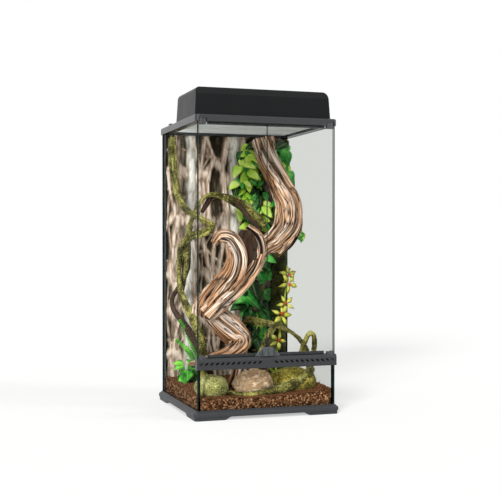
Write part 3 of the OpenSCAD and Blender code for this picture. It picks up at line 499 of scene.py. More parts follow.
def bark_chips():
    """Chipped bark and coir: each chip has its own brown, with painted shade darkening the gaps between."""
    n = blank("shredded_bark")
    # Most chips lie front to back, so they are drawn two and a half times as long that way
    laid = n.mapped(n.place(), (1.0, 0.4, 1.0))
    moved = n.put("ShaderNodeMix", 1, {"Factor": 0.012, 4: laid, 5: n.noise(laid, 160.0, output="Color")},
                  data_type="VECTOR")
    away, shade = n.cells(moved, 1 / BARK_CHIP)
    colour = n.ramp(shade, (0.1, "321b0e"), (0.4, "553521"), (0.7, "785338"), (0.95, "a5805a"))
    # Painted shade: near the edge of each chip the colour turns almost black
    both = n.mixed(n.ranged(away, 0.0, 0.85, 0.35, 0.8), colour, linear("1c1009"))
    return n.surface(n.coat(both, 0.9, n.raised(away, 0.9, BARK_CHIP * 0.4, True), 0.04))


def rough_cork():
    """Natural cork bark: tan, wrinkled, with dark broken cracks, drawn partly as the bark's own dark and
    partly as painted shade.
    """
    n = blank("natural_cork_bark")
    way = n.mapped(n.place(), (1.0, 2.2, 2.2), (0.3, 0.2, 0.6))
    folds = n.noise(way, 45.0, 6.0, Roughness=0.65, Distortion=0.6)
    away = n.from_half(folds)
    body = n.ramp(folds, (0.3, "a07c54"), (0.5, "d4b08a"), (0.7, "f8e2c2"))
    # The cracks, where the bump is lowest, are drawn dark: partly the bark's own colour and partly painted
    # shade
    colour = n.mixed(n.ranged(away, 0.85, 0.0, 0.0, 0.035), body, linear("3a2a1c"))
    return n.surface(n.coat(colour, 0.85, n.raised(away, 0.9, 0.02), 0.06))


def painted_foam():
    """The background: hard foam cast as trunks and roots, whose colour follows the relief: painted shade in
    its gaps and painted light on its ridges.
    """
    n = blank("painted_foam")
    streak = n.noise(n.mapped(n.place(), (1.0, 1.0, 0.22)), 110.0, 5.0)
    level = n.calc("ADD", n.stored("height"), n.ranged(streak, -0.22, 0.22, 0.3, 0.7))
    # Painted shade and light: low parts of the relief are drawn dark and high parts pale
    roots = n.ramp(level, (0.0, "2e271d"), (0.14, "51483a"), (0.32, "77685a"), (0.52, "aa927e"),
                   (0.8, "dccaba"))
    bark = n.ramp(level, (0.05, "4a4238"), (0.35, "8a8377"), (0.6, "bab4a9"), (0.9, "dcd8d0"))
    colour = n.mixed(n.stored("trunk"), roots, bark)
    return n.surface(n.coat(colour, 0.85, n.raised(streak, 0.5, 0.002), 0.05))


def bead_foam():
    """The uncoated back of the background: grey expanded foam whose 4 mm beads show."""
    n = blank("expanded_bead_foam")
    away, shade = n.cells(n.place(), 250.0)
    colour = n.ramp(shade, (0.0, "3a3b39"), (1.0, "4e4f4c"))
    return n.surface(n.coat(colour, 0.8, n.raised(away, 0.6, 0.0015, True), 0.1))


def plain_finish(name, code, rough, low=0.85, high=1.15, scale=90.0, sheen=0.0, gloss=0.12):
    """A matt surface whose colour wanders a little from place to place."""
    n = blank(name)
    patch = n.noise(n.place(), scale, 3.0)
    tone = n.toned(code, n.ranged(patch, low, high, 0.3, 0.7))
    return n.surface(n.coat(tone, rough, n.raised(patch, 0.2, 0.0006), gloss, sheen))


def white_paper():
    """Matt white paper for the floor: it keeps the shadow, and half of it is plain white to the eye."""
    n = blank("white_paper")
    bump = n.raised(n.noise(n.place(), 300.0), 0.05, 0.0002)
    matt = n.coat(linear("e6e6e5"), 0.9, bump, 0.0)
    white = n.put("ShaderNodeEmission", "Emission", {"Strength": 1.0})
    return n.surface(n.either(n.calc("MULTIPLY", n.seen(), 0.5), matt, white))


# Geometry Nodes

def new_tree(name, *sockets):
    """A Geometry Nodes tree with named inputs of a kind each, and the sockets they come in by."""
    tree = bpy.data.node_groups.new(name, "GeometryNodeTree")
    face = tree.interface
    face.new_socket("Geometry", in_out="OUTPUT", socket_type="NodeSocketGeometry")
    for label, kind in (("Geometry", "Geometry"),) + sockets:
        face.new_socket(label, in_out="INPUT", socket_type="NodeSocket" + kind)
    return Nodes(tree), add(tree, "NodeGroupInput").outputs


def end_tree(n, copies, finish, *beside):
    """Makes the copies real, gives them their finish and ends the tree with what stands beside them."""
    real = n.put("GeometryNodeRealizeInstances", "Geometry", {"Geometry": copies})
    done = n.put("GeometryNodeSetMaterial", "Geometry", {"Geometry": real, "Material": finish})
    if beside:
        both = add(n.tree, "GeometryNodeJoinGeometry")
        for part in beside + (done,):
            n.tree.links.new(part, both.inputs["Geometry"])
        done = both.outputs["Geometry"]
    add(n.tree, "NodeGroupOutput", {"Geometry": done})
    return n.tree


def run_tree(piece, tree, **values):
    """Runs a tree on a piece with its inputs set, and keeps the result as a plain mesh."""
    modifier = piece.modifiers.new(tree.name, "NODES")
    modifier.node_group = tree
    for item in tree.interface.items_tree:
        label = item.name.replace(" ", "_").lower()
        if item.in_out == "INPUT" and label in values:
            modifier[item.identifier] = values[label]
    bpy.context.view_layer.update()
    graph = bpy.context.evaluated_depsgraph_get()
    mesh = bpy.data.meshes.new_from_object(piece.evaluated_get(graph))
    piece.modifiers.remove(modifier)
    piece.data = mesh
    return piece


def scatter_tree():
    """Puts turned and sized copies of a shape on every point of the input."""
    n, entry = new_tree("place_on_points", ("Shape", "Object"), ("Scale", "Float"), ("Finish", "Material"))
    turn, size = (n.put("GeometryNodeInputNamedAttribute", "Attribute", {"Name": name}, data_type=kind)
                  for name, kind in (("turn", "FLOAT_VECTOR"), ("size", "FLOAT")))
    copies = n.put("GeometryNodeInstanceOnPoints", "Instances", {
        "Points": n.put("GeometryNodeMeshToPoints", "Points", {"Mesh": entry["Geometry"]}),
        "Instance": n.put("GeometryNodeObjectInfo", "Geometry", {"Object": entry["Shape"]}),
        "Rotation": turn, "Scale": n.calc("MULTIPLY", size, entry["Scale"])})
    return end_tree(n, copies, entry["Finish"])


def chips_tree():
    """Strews copies of a shape over a surface, with a fixed seed."""
    n, entry = new_tree("strew", ("Shape", "Object"), ("Density", "Float"), ("Smallest", "Float"),
                        ("Largest", "Float"), ("Seed", "Int"), ("Finish", "Material"),
                        ("Keep Surface", "Bool"))
    spread = add(n.tree, "GeometryNodeDistributePointsOnFaces", {
        "Mesh": entry["Geometry"], "Density": entry["Density"], "Seed": entry["Seed"]}).outputs
    size = n.put("FunctionNodeRandomValue", 1, {2: entry["Smallest"], 3: entry["Largest"],
                                                "Seed": entry["Seed"]}, data_type="FLOAT")
    twist = n.put("FunctionNodeRandomValue", 0, {0: (-0.7, -0.7, -3.1), 1: (0.7, 0.7, 3.1),
                                                 "Seed": entry["Seed"]}, data_type="FLOAT_VECTOR")
    turn = n.put("FunctionNodeRotateRotation", "Rotation", {"Rotation": spread["Rotation"],
                                                            "Rotate By": twist}, rotation_space="LOCAL")
    copies = n.put("GeometryNodeInstanceOnPoints", "Instances", {
        "Points": spread["Points"], "Rotation": turn, "Scale": size,
        "Instance": n.put("GeometryNodeObjectInfo", "Geometry", {"Object": entry["Shape"]})})
    kept = n.put("GeometryNodeSwitch", "Output", {"Switch": entry["Keep Surface"],
                                                  "True": entry["Geometry"]}, input_type="GEOMETRY")
    return end_tree(n, copies, entry["Finish"], kept)


def wires_tree():
    """Round wires side by side, each as long as the input line."""
    n, entry = new_tree("woven_wires", ("Count", "Int"), ("Step", "Vector"), ("Wire", "Float"),
                        ("Finish", "Material"))
    bar = n.put("GeometryNodeCurveToMesh", "Mesh", {
        "Curve": n.put("GeometryNodeMeshToCurve", "Curve", {"Mesh": entry["Geometry"]}),
        "Profile Curve": n.put("GeometryNodeCurvePrimitiveCircle", "Curve",
                               {"Resolution": 4, "Radius": entry["Wire"]})})
    row = n.put("GeometryNodeMeshLine", "Mesh", {"Count": entry["Count"], "Offset": entry["Step"]})
    copies = n.put("GeometryNodeInstanceOnPoints", "Instances", {"Points": row, "Instance": bar})
    return end_tree(n, copies, entry["Finish"])


# Routes of the wood, vines and plants as the frame has them: x, y, z and thickness in millimetres

WOOD_ARM = [(108, 138, 897, 78), (124, 122, 824, 80), (152, 84, 746, 84), (168, 36, 667, 92),
            (146, 4, 594, 94), (96, -18, 548, 76), (44, -42, 518, 58), (6, -60, 456, 56),
            (-52, -72, 396, 66), (-108, -76, 354, 72), (-158, -70, 310, 68)]
WOOD_COIL = [(-128, -72, 540, 26), (-108, -86, 562, 40), (-76, -94, 548, 56), (-56, -96, 496, 72),
             (-70, -90, 440, 80), (-112, -74, 390, 82), (-152, -62, 346, 72), (-166, -56, 306, 56)]
WOOD_TRUNK = [(-150, -48, 352, 66), (-108, -42, 300, 82), (-64, -56, 256, 92), (-40, -76, 224, 74),
              (-76, -92, 192, 50), (-132, -84, 172, 38), (-204, -52, 152, 12)]
WOOD_FOOT = [(-46, -64, 240, 60), (-32, -54, 190, 46), (-38, -46, 130, 42), (-58, -42, 50, 52)]
WOOD_STRAND = [(178, 62, 700, 22), (194, 36, 650, 30), (190, 8, 596, 34), (154, -18, 540, 34),
               (108, -30, 500, 24)]
WOOD_RIBBON = [(12, -60, 462, 30), (32, -64, 512, 34), (22, -66, 560, 30), (-14, -66, 592, 20)]
WOOD_WEB = [(-6, -60, 580, 56), (-8, -60, 545, 84), (-12, -62, 490, 90), (-24, -66, 430, 80)]
VINE_LEFT = [(-206, 150, 897, 20), (-206, 120, 783, 22), (-202, 60, 687, 24), (-182, 0, 636, 26),
             (-156, -50, 612, 26), (-138, -84, 590, 26), (-160, -58, 570, 26), (-186, -6, 560, 27),
             (-203, 44, 526, 28), (-204, 72, 476, 28), (-204, 76, 417, 28), (-198, 60, 364, 28),
             (-180, 24, 307, 28), (-158, 4, 249, 28), (-144, 0, 185, 29), (-136, 8, 60, 30)]
VINE_SIDE = [[(-210, 182, 893, 11), (-210, 176, 830, 12), (-208, 150, 760, 13), (-206, 100, 700, 14),
              (-196, 40, 650, 15), (-172, -20, 622, 14)],
             [(-181, 10, 594, 14), (-185, 34, 548, 15), (-180, 66, 476, 15), (-185, 84, 416, 15),
              (-194, 82, 370, 13)]]
VINE_ARCH = [(-178, 106, 440, 18), (-176, 110, 500, 20), (-162, 106, 590, 20), (-140, 92, 652, 20),
             (-114, 76, 692, 20), (-84, 64, 700, 20), (-50, 54, 688, 20), (-10, 48, 664, 20),
             (30, 34, 634, 20), (72, 12, 596, 20)]
VINE_BROWN = [(-120, 98, 640, 12), (-108, 92, 662, 17), (-86, 94, 692, 17), (-50, 84, 697, 17),
              (-22, 64, 686, 17), (-4, 30, 656, 17), (24, 12, 616, 17), (56, 6, 580, 16)]
ARCH_TUFT = [(-40, 62, 694, 12), (-8, 56, 676, 30), (28, 44, 648, 34), (58, 28, 618, 28), (74, 14, 594, 14)]
BROWN_LOOP = [(-166, 100, 560, 12), (-166, 96, 510, 15), (-170, 100, 452, 17), (-186, 130, 397, 17),
              (-202, 160, 359, 15), (-206, 164, 332, 15), (-197, 150, 302, 18), (-180, 116, 270, 22),
              (-161, 84, 232, 26), (-139, 54, 184, 28), (-118, 30, 127, 28), (-110, 24, 60, 28)]
VINE_RIGHT = [(32, 96, 278, 27), (80, 66, 271, 26), (126, 28, 259, 25), (164, -14, 237, 24),
              (190, -40, 204, 22), (200, -62, 160, 20), (202, -80, 60, 20)]
VINE_BRANCH = [(112, 30, 254, 22), (84, 2, 232, 26), (50, -34, 196, 26), (24, -56, 160, 26),
               (10, -62, 60, 28)]
VINE_LOOP = [(144, -96, 96, 14), (152, -100, 156, 14), (166, -108, 206, 15), (181, -116, 242, 15),
             (196, -118, 240, 15), (202, -112, 208, 15), (200, -100, 160, 15), (192, -88, 96, 16)]
GROUND_ROOT = [(-128, -168, 82, 8), (-92, -184, 72, 12), (-44, -190, 66, 18), (7, -188, 72, 24),
               (77, -180, 84, 28), (136, -164, 104, 29), (176, -136, 128, 26), (196, -96, 120, 18)]
COLUMN = [(184, 156, 895, 52), (186, 160, 690, 56), (182, 160, 513, 49), (176, 158, 337, 55),
          (170, 154, 40, 57)]
ORCHID_STEM = [(132, 66, 60, 9), (136, 70, 160, 7), (150, 74, 250, 6), (166, 78, 330, 6),
               (178, 84, 400, 5), (192, 88, 452, 4)]
IVY_STEMS = [[(120, 176, 60, 8), (112, 180, 240, 7), (120, 178, 430, 7), (100, 180, 600, 6),
              (120, 185, 760, 6), (96, 187, 890, 5)],
             [(112, 179, 250, 6), (76, 172, 330, 6), (64, 168, 430, 5), (84, 176, 520, 5),
              (102, 180, 590, 5)],
             [(100, 180, 600, 6), (60, 176, 660, 5), (46, 174, 760, 5), (62, 176, 860, 4)],
             [(184, 131, 560, 8), (187, 129, 680, 8), (186, 129, 790, 8), (188, 130, 890, 8)],
             [(186, 130, 640, 5), (200, 96, 622, 5), (208, 60, 592, 4), (204, 34, 566, 4)]]
PLANT_FOOT = (-172, 96, 73)
FERN_FRONDS = [[(-134, 64, 70, 8), (-140, 68, 150, 16), (-160, 84, 218, 22), (-198, 100, 284, 4)],
               [(-132, 68, 70, 7), (-142, 84, 120, 13), (-164, 104, 176, 17), (-204, 122, 214, 4)],
               [(-130, 66, 70, 6), (-118, 84, 130, 12), (-112, 110, 190, 14), (-118, 140, 236, 4)]]


class TerrariumLooks(PropertyGroup):
    """Sizes and colours of the planting and the glass."""

    glass_tint: FloatVectorProperty(
        name="Glass Tint", description="Colour of light that has passed one face of the glass",
        default=(0.985, 0.992, 0.988), min=0.0, max=1.0, subtype="COLOR")
    # The right side pane is drawn greyer than the other glass: painted shade
    side_shade_tint: FloatVectorProperty(
        name="Side Tint", description="The same for the right side pane, which shows greyer",
        default=(0.835, 0.838, 0.822), min=0.0, max=1.0, subtype="COLOR")
    # The crack colour is also the painted shade in the wood's creases, between its strands, low on its trunk
    # and on its web
    crack_and_shade_colour: FloatVectorProperty(
        name="Crack Colour", description="Colour at the bottom of the driftwood's cracks",
        default=linear("1c0f08")[:3], min=0.0, max=1.0, subtype="COLOR")
    wire_pitch: FloatProperty(
        name="Wire Pitch", description="Distance between the wires of the screen lid",
        default=0.0025, min=0.0015, max=0.01, subtype="DISTANCE", unit="LENGTH")
    wire_thickness: FloatProperty(
        name="Wire Thickness", description="Diameter of one wire of the screen lid",
        default=0.0005, min=0.0002, max=0.001, subtype="DISTANCE", unit="LENGTH")
    chip_density: FloatProperty(
        name="Bark Chips", description="Bark chips on each square metre of the ground",
        default=44000.0, min=0.0, max=60000.0)
    tuft_density: FloatProperty(
        name="Moss Tufts", description="Moss tufts on each square metre of a mossy surface",
        default=60000.0, min=0.0, max=120000.0)
    leaf_length: FloatProperty(
        name="Ivy Leaf", description="Length of a full-grown ivy leaf",
        default=0.072, min=0.02, max=0.09, subtype="DISTANCE", unit="LENGTH")
    flower_width: FloatProperty(
        name="Flower", description="Width of an open orchid flower",
        default=0.07, min=0.02, max=0.08, subtype="DISTANCE", unit="LENGTH")
    seed: IntProperty(
        name="Seed", description="Chooses another scatter of leaves, chips and tufts", default=7, min=0)


def looks():
    """The scene's settings."""
    return bpy.context.scene.terrarium_looks


# Shapes that are repeated

def leaf_shape(name, breadth, widest=0.4, fold=0.18, curl=0.25, steps=5, tip=1.0):
    """A thin closed leaf one metre long along X, folded up along its midrib and curled down."""
    verts, maps, faces = [], [], []
    for side in (1, -1):
        for i in range(1, steps):
            t = i / steps
            half = breadth / 2 * math.sin(math.pi * t ** (math.log(0.5) / math.log(widest))) ** tip
            for v in (-1, -0.5, 0, 0.5, 1):
                lift = fold * half * abs(v) - curl * t * t * 0.5
                if abs(v) < 1:
                    lift += side * 0.008
                verts.append((t, v * half, lift))
                maps.append((t, 0.5 + v / 2))
    row = 5
    layer = (steps - 1) * row
    root, point = len(verts), len(verts) + 1
    verts += [(0, 0, 0), (1, 0, -curl * 0.5)]
    maps += [(0, 0.5), (1, 0.5)]
    for side in (0, 1):
        for i in range(steps - 2):
            for j in range(4):
                a = side * layer + i * row + j
                faces.append((a, a + row, a + row + 1, a + 1))
        for j in range(4):
            a = side * layer + j
            b = a + (steps - 2) * row
            faces.append((root, a, a + 1))
            faces.append((point, b + 1, b))
    return shape_object(name, verts, faces, maps)


def shape_object(name, verts, faces, maps=None):
    """A helper object that the trees copy, with its doubles merged and its faces outwards."""
    mesh = bpy.data.meshes.new(name)
    mesh.from_pydata(verts, [], faces)
    if maps:
        layer = mesh.uv_layers.new(name="UVMap")
        for loop in mesh.loops:
            layer.data[loop.index].uv = maps[loop.vertex_index]
    with edited(mesh) as work:
        bmesh.ops.remove_doubles(work, verts=work.verts, dist=1e-6)
        bmesh.ops.recalc_face_normals(work, faces=work.faces)
    mesh.shade_smooth()
    return linked(name, mesh)


def chip_shape():
    """A flat splinter of bark one metre long."""
    top = [(-0.5, -0.12, 0.1), (-0.1, -0.24, 0.14), (0.42, -0.16, 0.06), (0.5, 0.08, 0.09),
           (0.1, 0.26, 0.12), (-0.44, 0.14, 0.05)]
    low = [(x * 0.86, y * 0.8, -0.1) for x, y, z in top]
    n = len(top)
    faces = [tuple(range(n)), tuple(range(2 * n - 1, n - 1, -1))]
    faces += [(i, n + i, n + (i + 1) % n, (i + 1) % n) for i in range(n)]
    chip = shape_object("chip", top + low, faces)
    for polygon in chip.data.polygons:
        polygon.use_smooth = False
    return chip


def tuft_shape():
    """A clump of five short pointed moss blades one metre high."""
    verts, faces = [], []
    for k in range(5):
        a = 2 * math.pi * k / 5
        lean = 0.55 if k else 0.1
        base = len(verts)
        for b in range(3):
            c = a + 2 * math.pi * b / 3
            verts.append((0.16 * math.cos(c) + 0.1 * math.cos(a),
                          0.16 * math.sin(c) + 0.1 * math.sin(a), -0.2))
        verts.append((lean * math.cos(a), lean * math.sin(a), 1 - 0.25 * (k % 2)))
        faces += [(base, base + 1, base + 3), (base + 1, base + 2, base + 3), (base + 2, base, base + 3),
                  (base, base + 2, base + 1)]
    return shape_object("tuft", verts, faces)


def flower_shapes():
    """An orchid's five petals round its middle, one metre across, and its lip with the column."""
    petals, faces = [], []
    for k in range(5):
        a = 2 * math.pi * k / 5 + math.pi / 2
        broad = 0.2 if k in (0, 2, 3) else 0.25
        ring = [(0.04, 0), (0.16, 0.75), (0.28, 1.0), (0.42, 0.55), (0.54, 0), (0.42, -0.55),
                (0.28, -1.0), (0.16, -0.75)]
        base = len(petals)
        for r, w in ring:
            y = w * broad / 2
            petals.append((r * math.cos(a) - y * math.sin(a), r * math.sin(a) + y * math.cos(a),
                           0.04 - 0.16 * r + 0.08 * abs(w) * 0.5))
        for lift in (0.02, -0.02):
            petals.append((0.3 * math.cos(a), 0.3 * math.sin(a), lift))
        for j in range(8):
            nxt = (j + 1) % 8
            faces += [(base + j, base + nxt, base + 8), (base + nxt, base + j, base + 9)]
    flower = shape_object("petals", petals, faces)
    ring_sizes = [(0.0, 0.02), (0.05, 0.05), (0.14, 0.1), (0.2, 0.06), (0.23, 0.01)]
    verts, n = [], 8
    for z, r in ring_sizes:
        for j in range(n):
            a = 2 * math.pi * j / n
            verts.append((r * math.cos(a), r * math.sin(a) * 0.7 - z * 0.35, z))
    walls = ring_walls(len(ring_sizes), n)
    walls += [tuple(range(n - 1, -1, -1)), tuple(range((len(ring_sizes) - 1) * n, len(ring_sizes) * n))]
    lip = shape_object("lip", verts, walls)
    return flower, lip


def placed(name, spots, turns, sizes, shape, material):
    """Copies of a shape as one plain mesh, at each spot with its own turn and size."""
    piece = piece_from(name, spots, [], [], smooth=False)
    note(piece.data, "size", sizes)
    note(piece.data, "turn", turns)
    return run_tree(piece, scatter_tree(), shape=shape, scale=1.0, finish=material)


def turn_to(direction, facing):
    """Euler angles that lay a shape's X along a direction and turn its Z towards another."""
    x = Vector(direction).normalized()
    z = Vector(facing)
    z = (z - x * z.dot(x)).normalized()
    y = z.cross(x)
    return Matrix([[x[i], y[i], z[i]] for i in range(3)]).to_euler()


def drop(*shapes):
    """Removes helper objects once they have been copied."""
    for shape in shapes:
        bpy.data.objects.remove(shape)


# Forms of the furnishing

def height_block(name, xs, ys, height, place, materials, fields):
    """A closed block with one uneven side: place turns x, y and height into a point.

    The flat side opposite the uneven one has the last of the materials.
    """
    gx, gy = np.meshgrid(xs, ys)
    top = place(gx, gy, height).reshape(-1, 3)
    nx, ny = len(xs), len(ys)
    edge = ([i for i in range(nx - 1)] + [j * nx + nx - 1 for j in range(ny - 1)]
            + [(ny - 1) * nx + i for i in range(nx - 1, 0, -1)] + [j * nx for j in range(ny - 1, 0, -1)])
    low = place(gx, gy, np.zeros_like(height)).reshape(-1, 3)[edge]
    base = nx * ny
    faces = [(j * nx + i, j * nx + i + 1, (j + 1) * nx + i + 1, (j + 1) * nx + i)
             for j in range(ny - 1) for i in range(nx - 1)]
    m = len(edge)
    faces += [(edge[k], base + k, base + (k + 1) % m, edge[(k + 1) % m]) for k in range(m)]
    faces.append(tuple(range(base + m - 1, base - 1, -1)))
    piece = piece_from(name, np.concatenate([top, low]), faces, materials)
    piece.data.polygons[len(faces) - 1].material_index = len(materials) - 1
    for label, values in fields.items():
        note(piece.data, label, np.concatenate([values.ravel(), values.ravel()[edge]]))
    tidy_normals(piece)
    return piece


def cell_edges(x, z, seed):
    """How far each place is from the border of its cell in a random net, 0 on the border."""
    jitter = np.random.default_rng(seed).uniform(0.15, 0.85, (64, 64, 2))
    column, row = np.floor(x).astype(int), np.floor(z).astype(int)
    near, second = np.full(x.shape, 9.0), np.full(x.shape, 9.0)
    for i in (-1, 0, 1):
        for j in (-1, 0, 1):
            at = jitter[(column + i) % 64, (row + j) % 64]
            away = np.hypot(x - column - i - at[..., 0], z - row - j - at[..., 1])
            second = np.minimum(second, np.maximum(near, away))
            near = np.minimum(near, away)
    return second - near


def hump(t, width):
    """A rounded rise of a half width."""
    return np.maximum(0, 1 - (t / width) ** 2)


def rounded_lump(at, size, rows, cols, rough, fine_mm, fine, seed):
    """A lump as the frame has it, with a fine uneven surface."""
    t = math.pi * (np.arange(1, rows)[:, None]) / rows
    a = 2 * math.pi * np.arange(cols)[None, :] / cols
    coarse = rough * (np.cos(3 * a + np.radians(50) * t / math.pi * 10)
                      + 0.6 * np.sin(5 * a - np.radians(70) * t / math.pi * 10)) * np.sin(t)
    unit = np.stack([np.sin(t) * np.cos(a), np.sin(t) * np.sin(a), np.cos(t) + 0 * a], axis=-1)
    poles = np.array([[0, 0, 1.0], [0, 0, -1.0]])
    swell = np.concatenate([(1 + coarse).ravel(), [1, 1]])
    unit = np.concatenate([unit.reshape(-1, 3), poles])
    points = np.array(at) + unit * np.array(size) * swell[:, None]
    bumps = (soft_noise(*(points.T / fine_mm), seed=seed)
             + 0.5 * soft_noise(*(points.T / (fine_mm / 2)), seed=seed + 1))
    points = points + unit * (bumps * fine)[:, None]
    n = cols
    faces = [(i * n + j, (i + 1) * n + j, (i + 1) * n + (j + 1) % n, i * n + (j + 1) % n)
             for i in range(rows - 2) for j in range(cols)]
    top, low = (rows - 1) * n, (rows - 1) * n + 1
    faces += [(top, j, (j + 1) % n) for j in range(n)]
    faces += [(low, (rows - 2) * n + (j + 1) % n, (rows - 2) * n + j) for j in range(n)]
    return points * MM, faces, {"crease": np.clip(0.5 - bumps, 0, 1)}


def darkened(parts, least):
    """Strands of wood given painted shade, at least as dark as a level."""
    return [(points, faces, {"crease": np.maximum(fields["crease"], least), "flow": fields["flow"]})
            for points, faces, fields in parts]


def wood_rope(route, sides, steps, seed, core=None):
    """A strand of driftwood: cracks and ridges along it, with painted shade in its creases and where it lies
    deep in its bundle.
    """
    rope = Rope(route, sides, steps)
    s = rope.along
    a = rope.angle + 0 * s
    wide = soft_noise(np.cos(a) * 1.9, np.sin(a) * 1.9, s / (WOOD_GRAIN * MM) + 0 * a, seed)
    thin = soft_noise(np.cos(a) * 4.2, np.sin(a) * 4.2, s / (WOOD_GRAIN * 0.8 * MM) + 0 * a, seed + 3)
    deep = crease(wide, 0.17)
    fine = crease(thin, 0.2)
    swell = 1 - 0.14 * deep - 0.07 * fine + 0.08 * wide + 0.03 * thin
    points = rope.points(swell)
    # The deep and fine creases are drawn dark: painted shade
    cracks = np.clip(0.95 * deep ** 1.5 + 0.7 * fine ** 1.6, 0, 1).ravel()
    if core is not None:
        # Painted shade: the nearer a point lies to the middle of the bundle, the darker it is drawn
        away = np.linalg.norm(points.reshape(len(core), -1, 3) - core[:, None, :3] * MM, axis=2)
        sunk = np.clip((0.94 - away / (core[:, 3:4] / 2 * MM)) / 0.24, 0, 1)
        cracks = np.maximum(cracks, sunk.ravel())
    return (np.concatenate([points, rope.ends()]), rope.faces(),
            {"crease": np.append(cracks, [0.6, 0.6]), "flow": rope.flow()})


def strands(route, count, steps, spread, share, twist, phase=0.0):
    """Routes of a number of strands laid round one another along a route, as long as its rings."""
    path = smooth_route(route, steps)
    _, side, up = route_frame(path[:, :3])
    out = []
    for j in range(count):
        a = np.radians(360 * j / count + phase - twist * np.arange(len(path)) * 3 / steps)
        reach = path[:, 3] / 2 * spread
        centre = path[:, :3] + side * (np.cos(a) * reach)[:, None] + up * (np.sin(a) * reach)[:, None]
        wave = 1 + 0.12 * np.sin(a * 1.7 + 2.1 * j)
        out.append(np.column_stack([centre, path[:, 3] * share * wave]))
    return out


def wood_bundle(route, count, sides, steps, spread, share, twist, phase, seed):
    """Strands of driftwood grown together, with painted shade where they meet in the gaps between them."""
    core = smooth_route(route, steps)
    return [wood_rope(s, sides, 1, seed + 7 * i, core=core)
            for i, s in enumerate(strands(route, count, steps, spread, share, twist, phase))]


def vine_rope(route, sides, steps, seed, rough=0.16, cell_mm=7.0, lobes=0.08):
    """A moss-grown vine: lumpy all over and slowly twisted."""
    rope = Rope(route, sides, steps)
    k = np.arange(len(rope.centre))[:, None] * 2 / steps
    smooth = rope.points(np.ones((len(rope.centre), sides)))
    x, y, z = (smooth / MM / cell_mm).T
    lumps = soft_noise(x, y, z, seed) + 0.6 * soft_noise(2.3 * x, 2.3 * y, 2.3 * z, seed + 1)
    lumps = lumps.reshape(-1, sides)
    swell = 1 + lobes * np.cos(3 * rope.angle + np.radians(20) * k) + rough * lumps
    points = np.concatenate([rope.points(swell), rope.ends()])
    return points, rope.faces(), {"crease": np.append(np.clip(0.5 - lumps, 0, 1).ravel(), [0.5, 0.5])}


def twined(route, steps, seed):
    """Two mossy stems that wind slowly round each other along a route."""
    return [vine_rope(s, 20, 1, seed + 3 * i, 0.12, 5.0)
            for i, s in enumerate(strands(route, 2, steps, 0.46, 0.5, 9.0))]


def mossed(name, parts, skin, tuft_finish, tuft_mm, density_share, salt):
    """A mossy form with tufts strewn over it."""
    piece = joined(name, parts, [skin])
    tuft = tuft_shape()
    run_tree(piece, chips_tree(), shape=tuft, density=looks().tuft_density * density_share,
             smallest=0.6 * tuft_mm * MM, largest=1.5 * tuft_mm * MM, seed=looks().seed + salt,
             finish=tuft_finish, keep_surface=True)
    drop(tuft)
    return piece


def mossy_lump(node, slot, skin, tips, tuft_mm, salt, form):
    """A mossy lump that stands for a node of the frame."""
    dress(mossed(node + "_moss", [form], skin, tips, tuft_mm, 1.0, salt), TANK, slot, node)


def pane(name, axis, clear, edge):
    """A sheet of glass on a pane of the frame, with ground arrises and a separate edge finish."""
    lo, hi = (np.array(corner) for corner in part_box(name))
    mesh = bpy.data.meshes.new(name + "_sheet")
    with edited(mesh) as work:
        bmesh.ops.create_cube(work, size=1.0)
        for vert in work.verts:
            vert.co = Vector((lo + hi) / 2 + np.array(vert.co) * (hi - lo))
        bmesh.ops.bevel(work, geom=list(work.edges), offset=0.0005, segments=1, affect="EDGES")
        for face in work.faces:
            face.material_index = 0 if abs(face.normal[axis]) > 0.95 else 1
    mesh.materials.append(clear)
    mesh.materials.append(edge)
    return linked(name + "_sheet", mesh)


def merged(name, parts):
    """Several plain meshes as one object."""
    mesh = bpy.data.meshes.new(name)
    with edited(mesh) as work:
        for part in parts:
            work.from_mesh(part.data)
    for material in parts[0].data.materials:
        mesh.materials.append(material)
    drop(*parts)
    return linked(name, mesh)


def top_only(piece, lift):
    """The upward faces of a piece, raised a little."""
    name = piece.name + "_chips"
    mesh = bpy.data.meshes.new(name)
    with edited(mesh) as work:
        work.from_mesh(piece.data)
        work.normal_update()
        bmesh.ops.delete(work, geom=[f for f in work.faces if f.normal.z < 0.35], context="FACES")
        for vert in work.verts:
            vert.co.z += lift
    return linked(name, mesh)


def keep_inside(piece, lo, hi):
    """Takes off the loose parts of a mesh that reach outside a box."""
    mesh = piece.data
    n = len(mesh.vertices)
    points = np.empty(n * 3)
    mesh.vertices.foreach_get("co", points)
    points = points.reshape(n, 3)
    root = np.arange(n)
    ends = np.empty(len(mesh.edges) * 2, dtype=np.int64)
    mesh.edges.foreach_get("vertices", ends)
    ends = ends.reshape(-1, 2)
    while True:
        low = np.minimum(root[ends[:, 0]], root[ends[:, 1]])
        fresh = root.copy()
        np.minimum.at(fresh, ends[:, 0], low)
        np.minimum.at(fresh, ends[:, 1], low)
        fresh = fresh[fresh]
        if np.array_equal(fresh, root):
            break
        root = fresh
    out = ((points < np.array(lo)) | (points > np.array(hi))).any(axis=1)
    gone = np.isin(root, np.unique(root[out]))
    with edited(mesh) as work:
        work.verts.ensure_lookup_table()
        bmesh.ops.delete(work, geom=[work.verts[i] for i in np.nonzero(gone)[0]], context="VERTS")


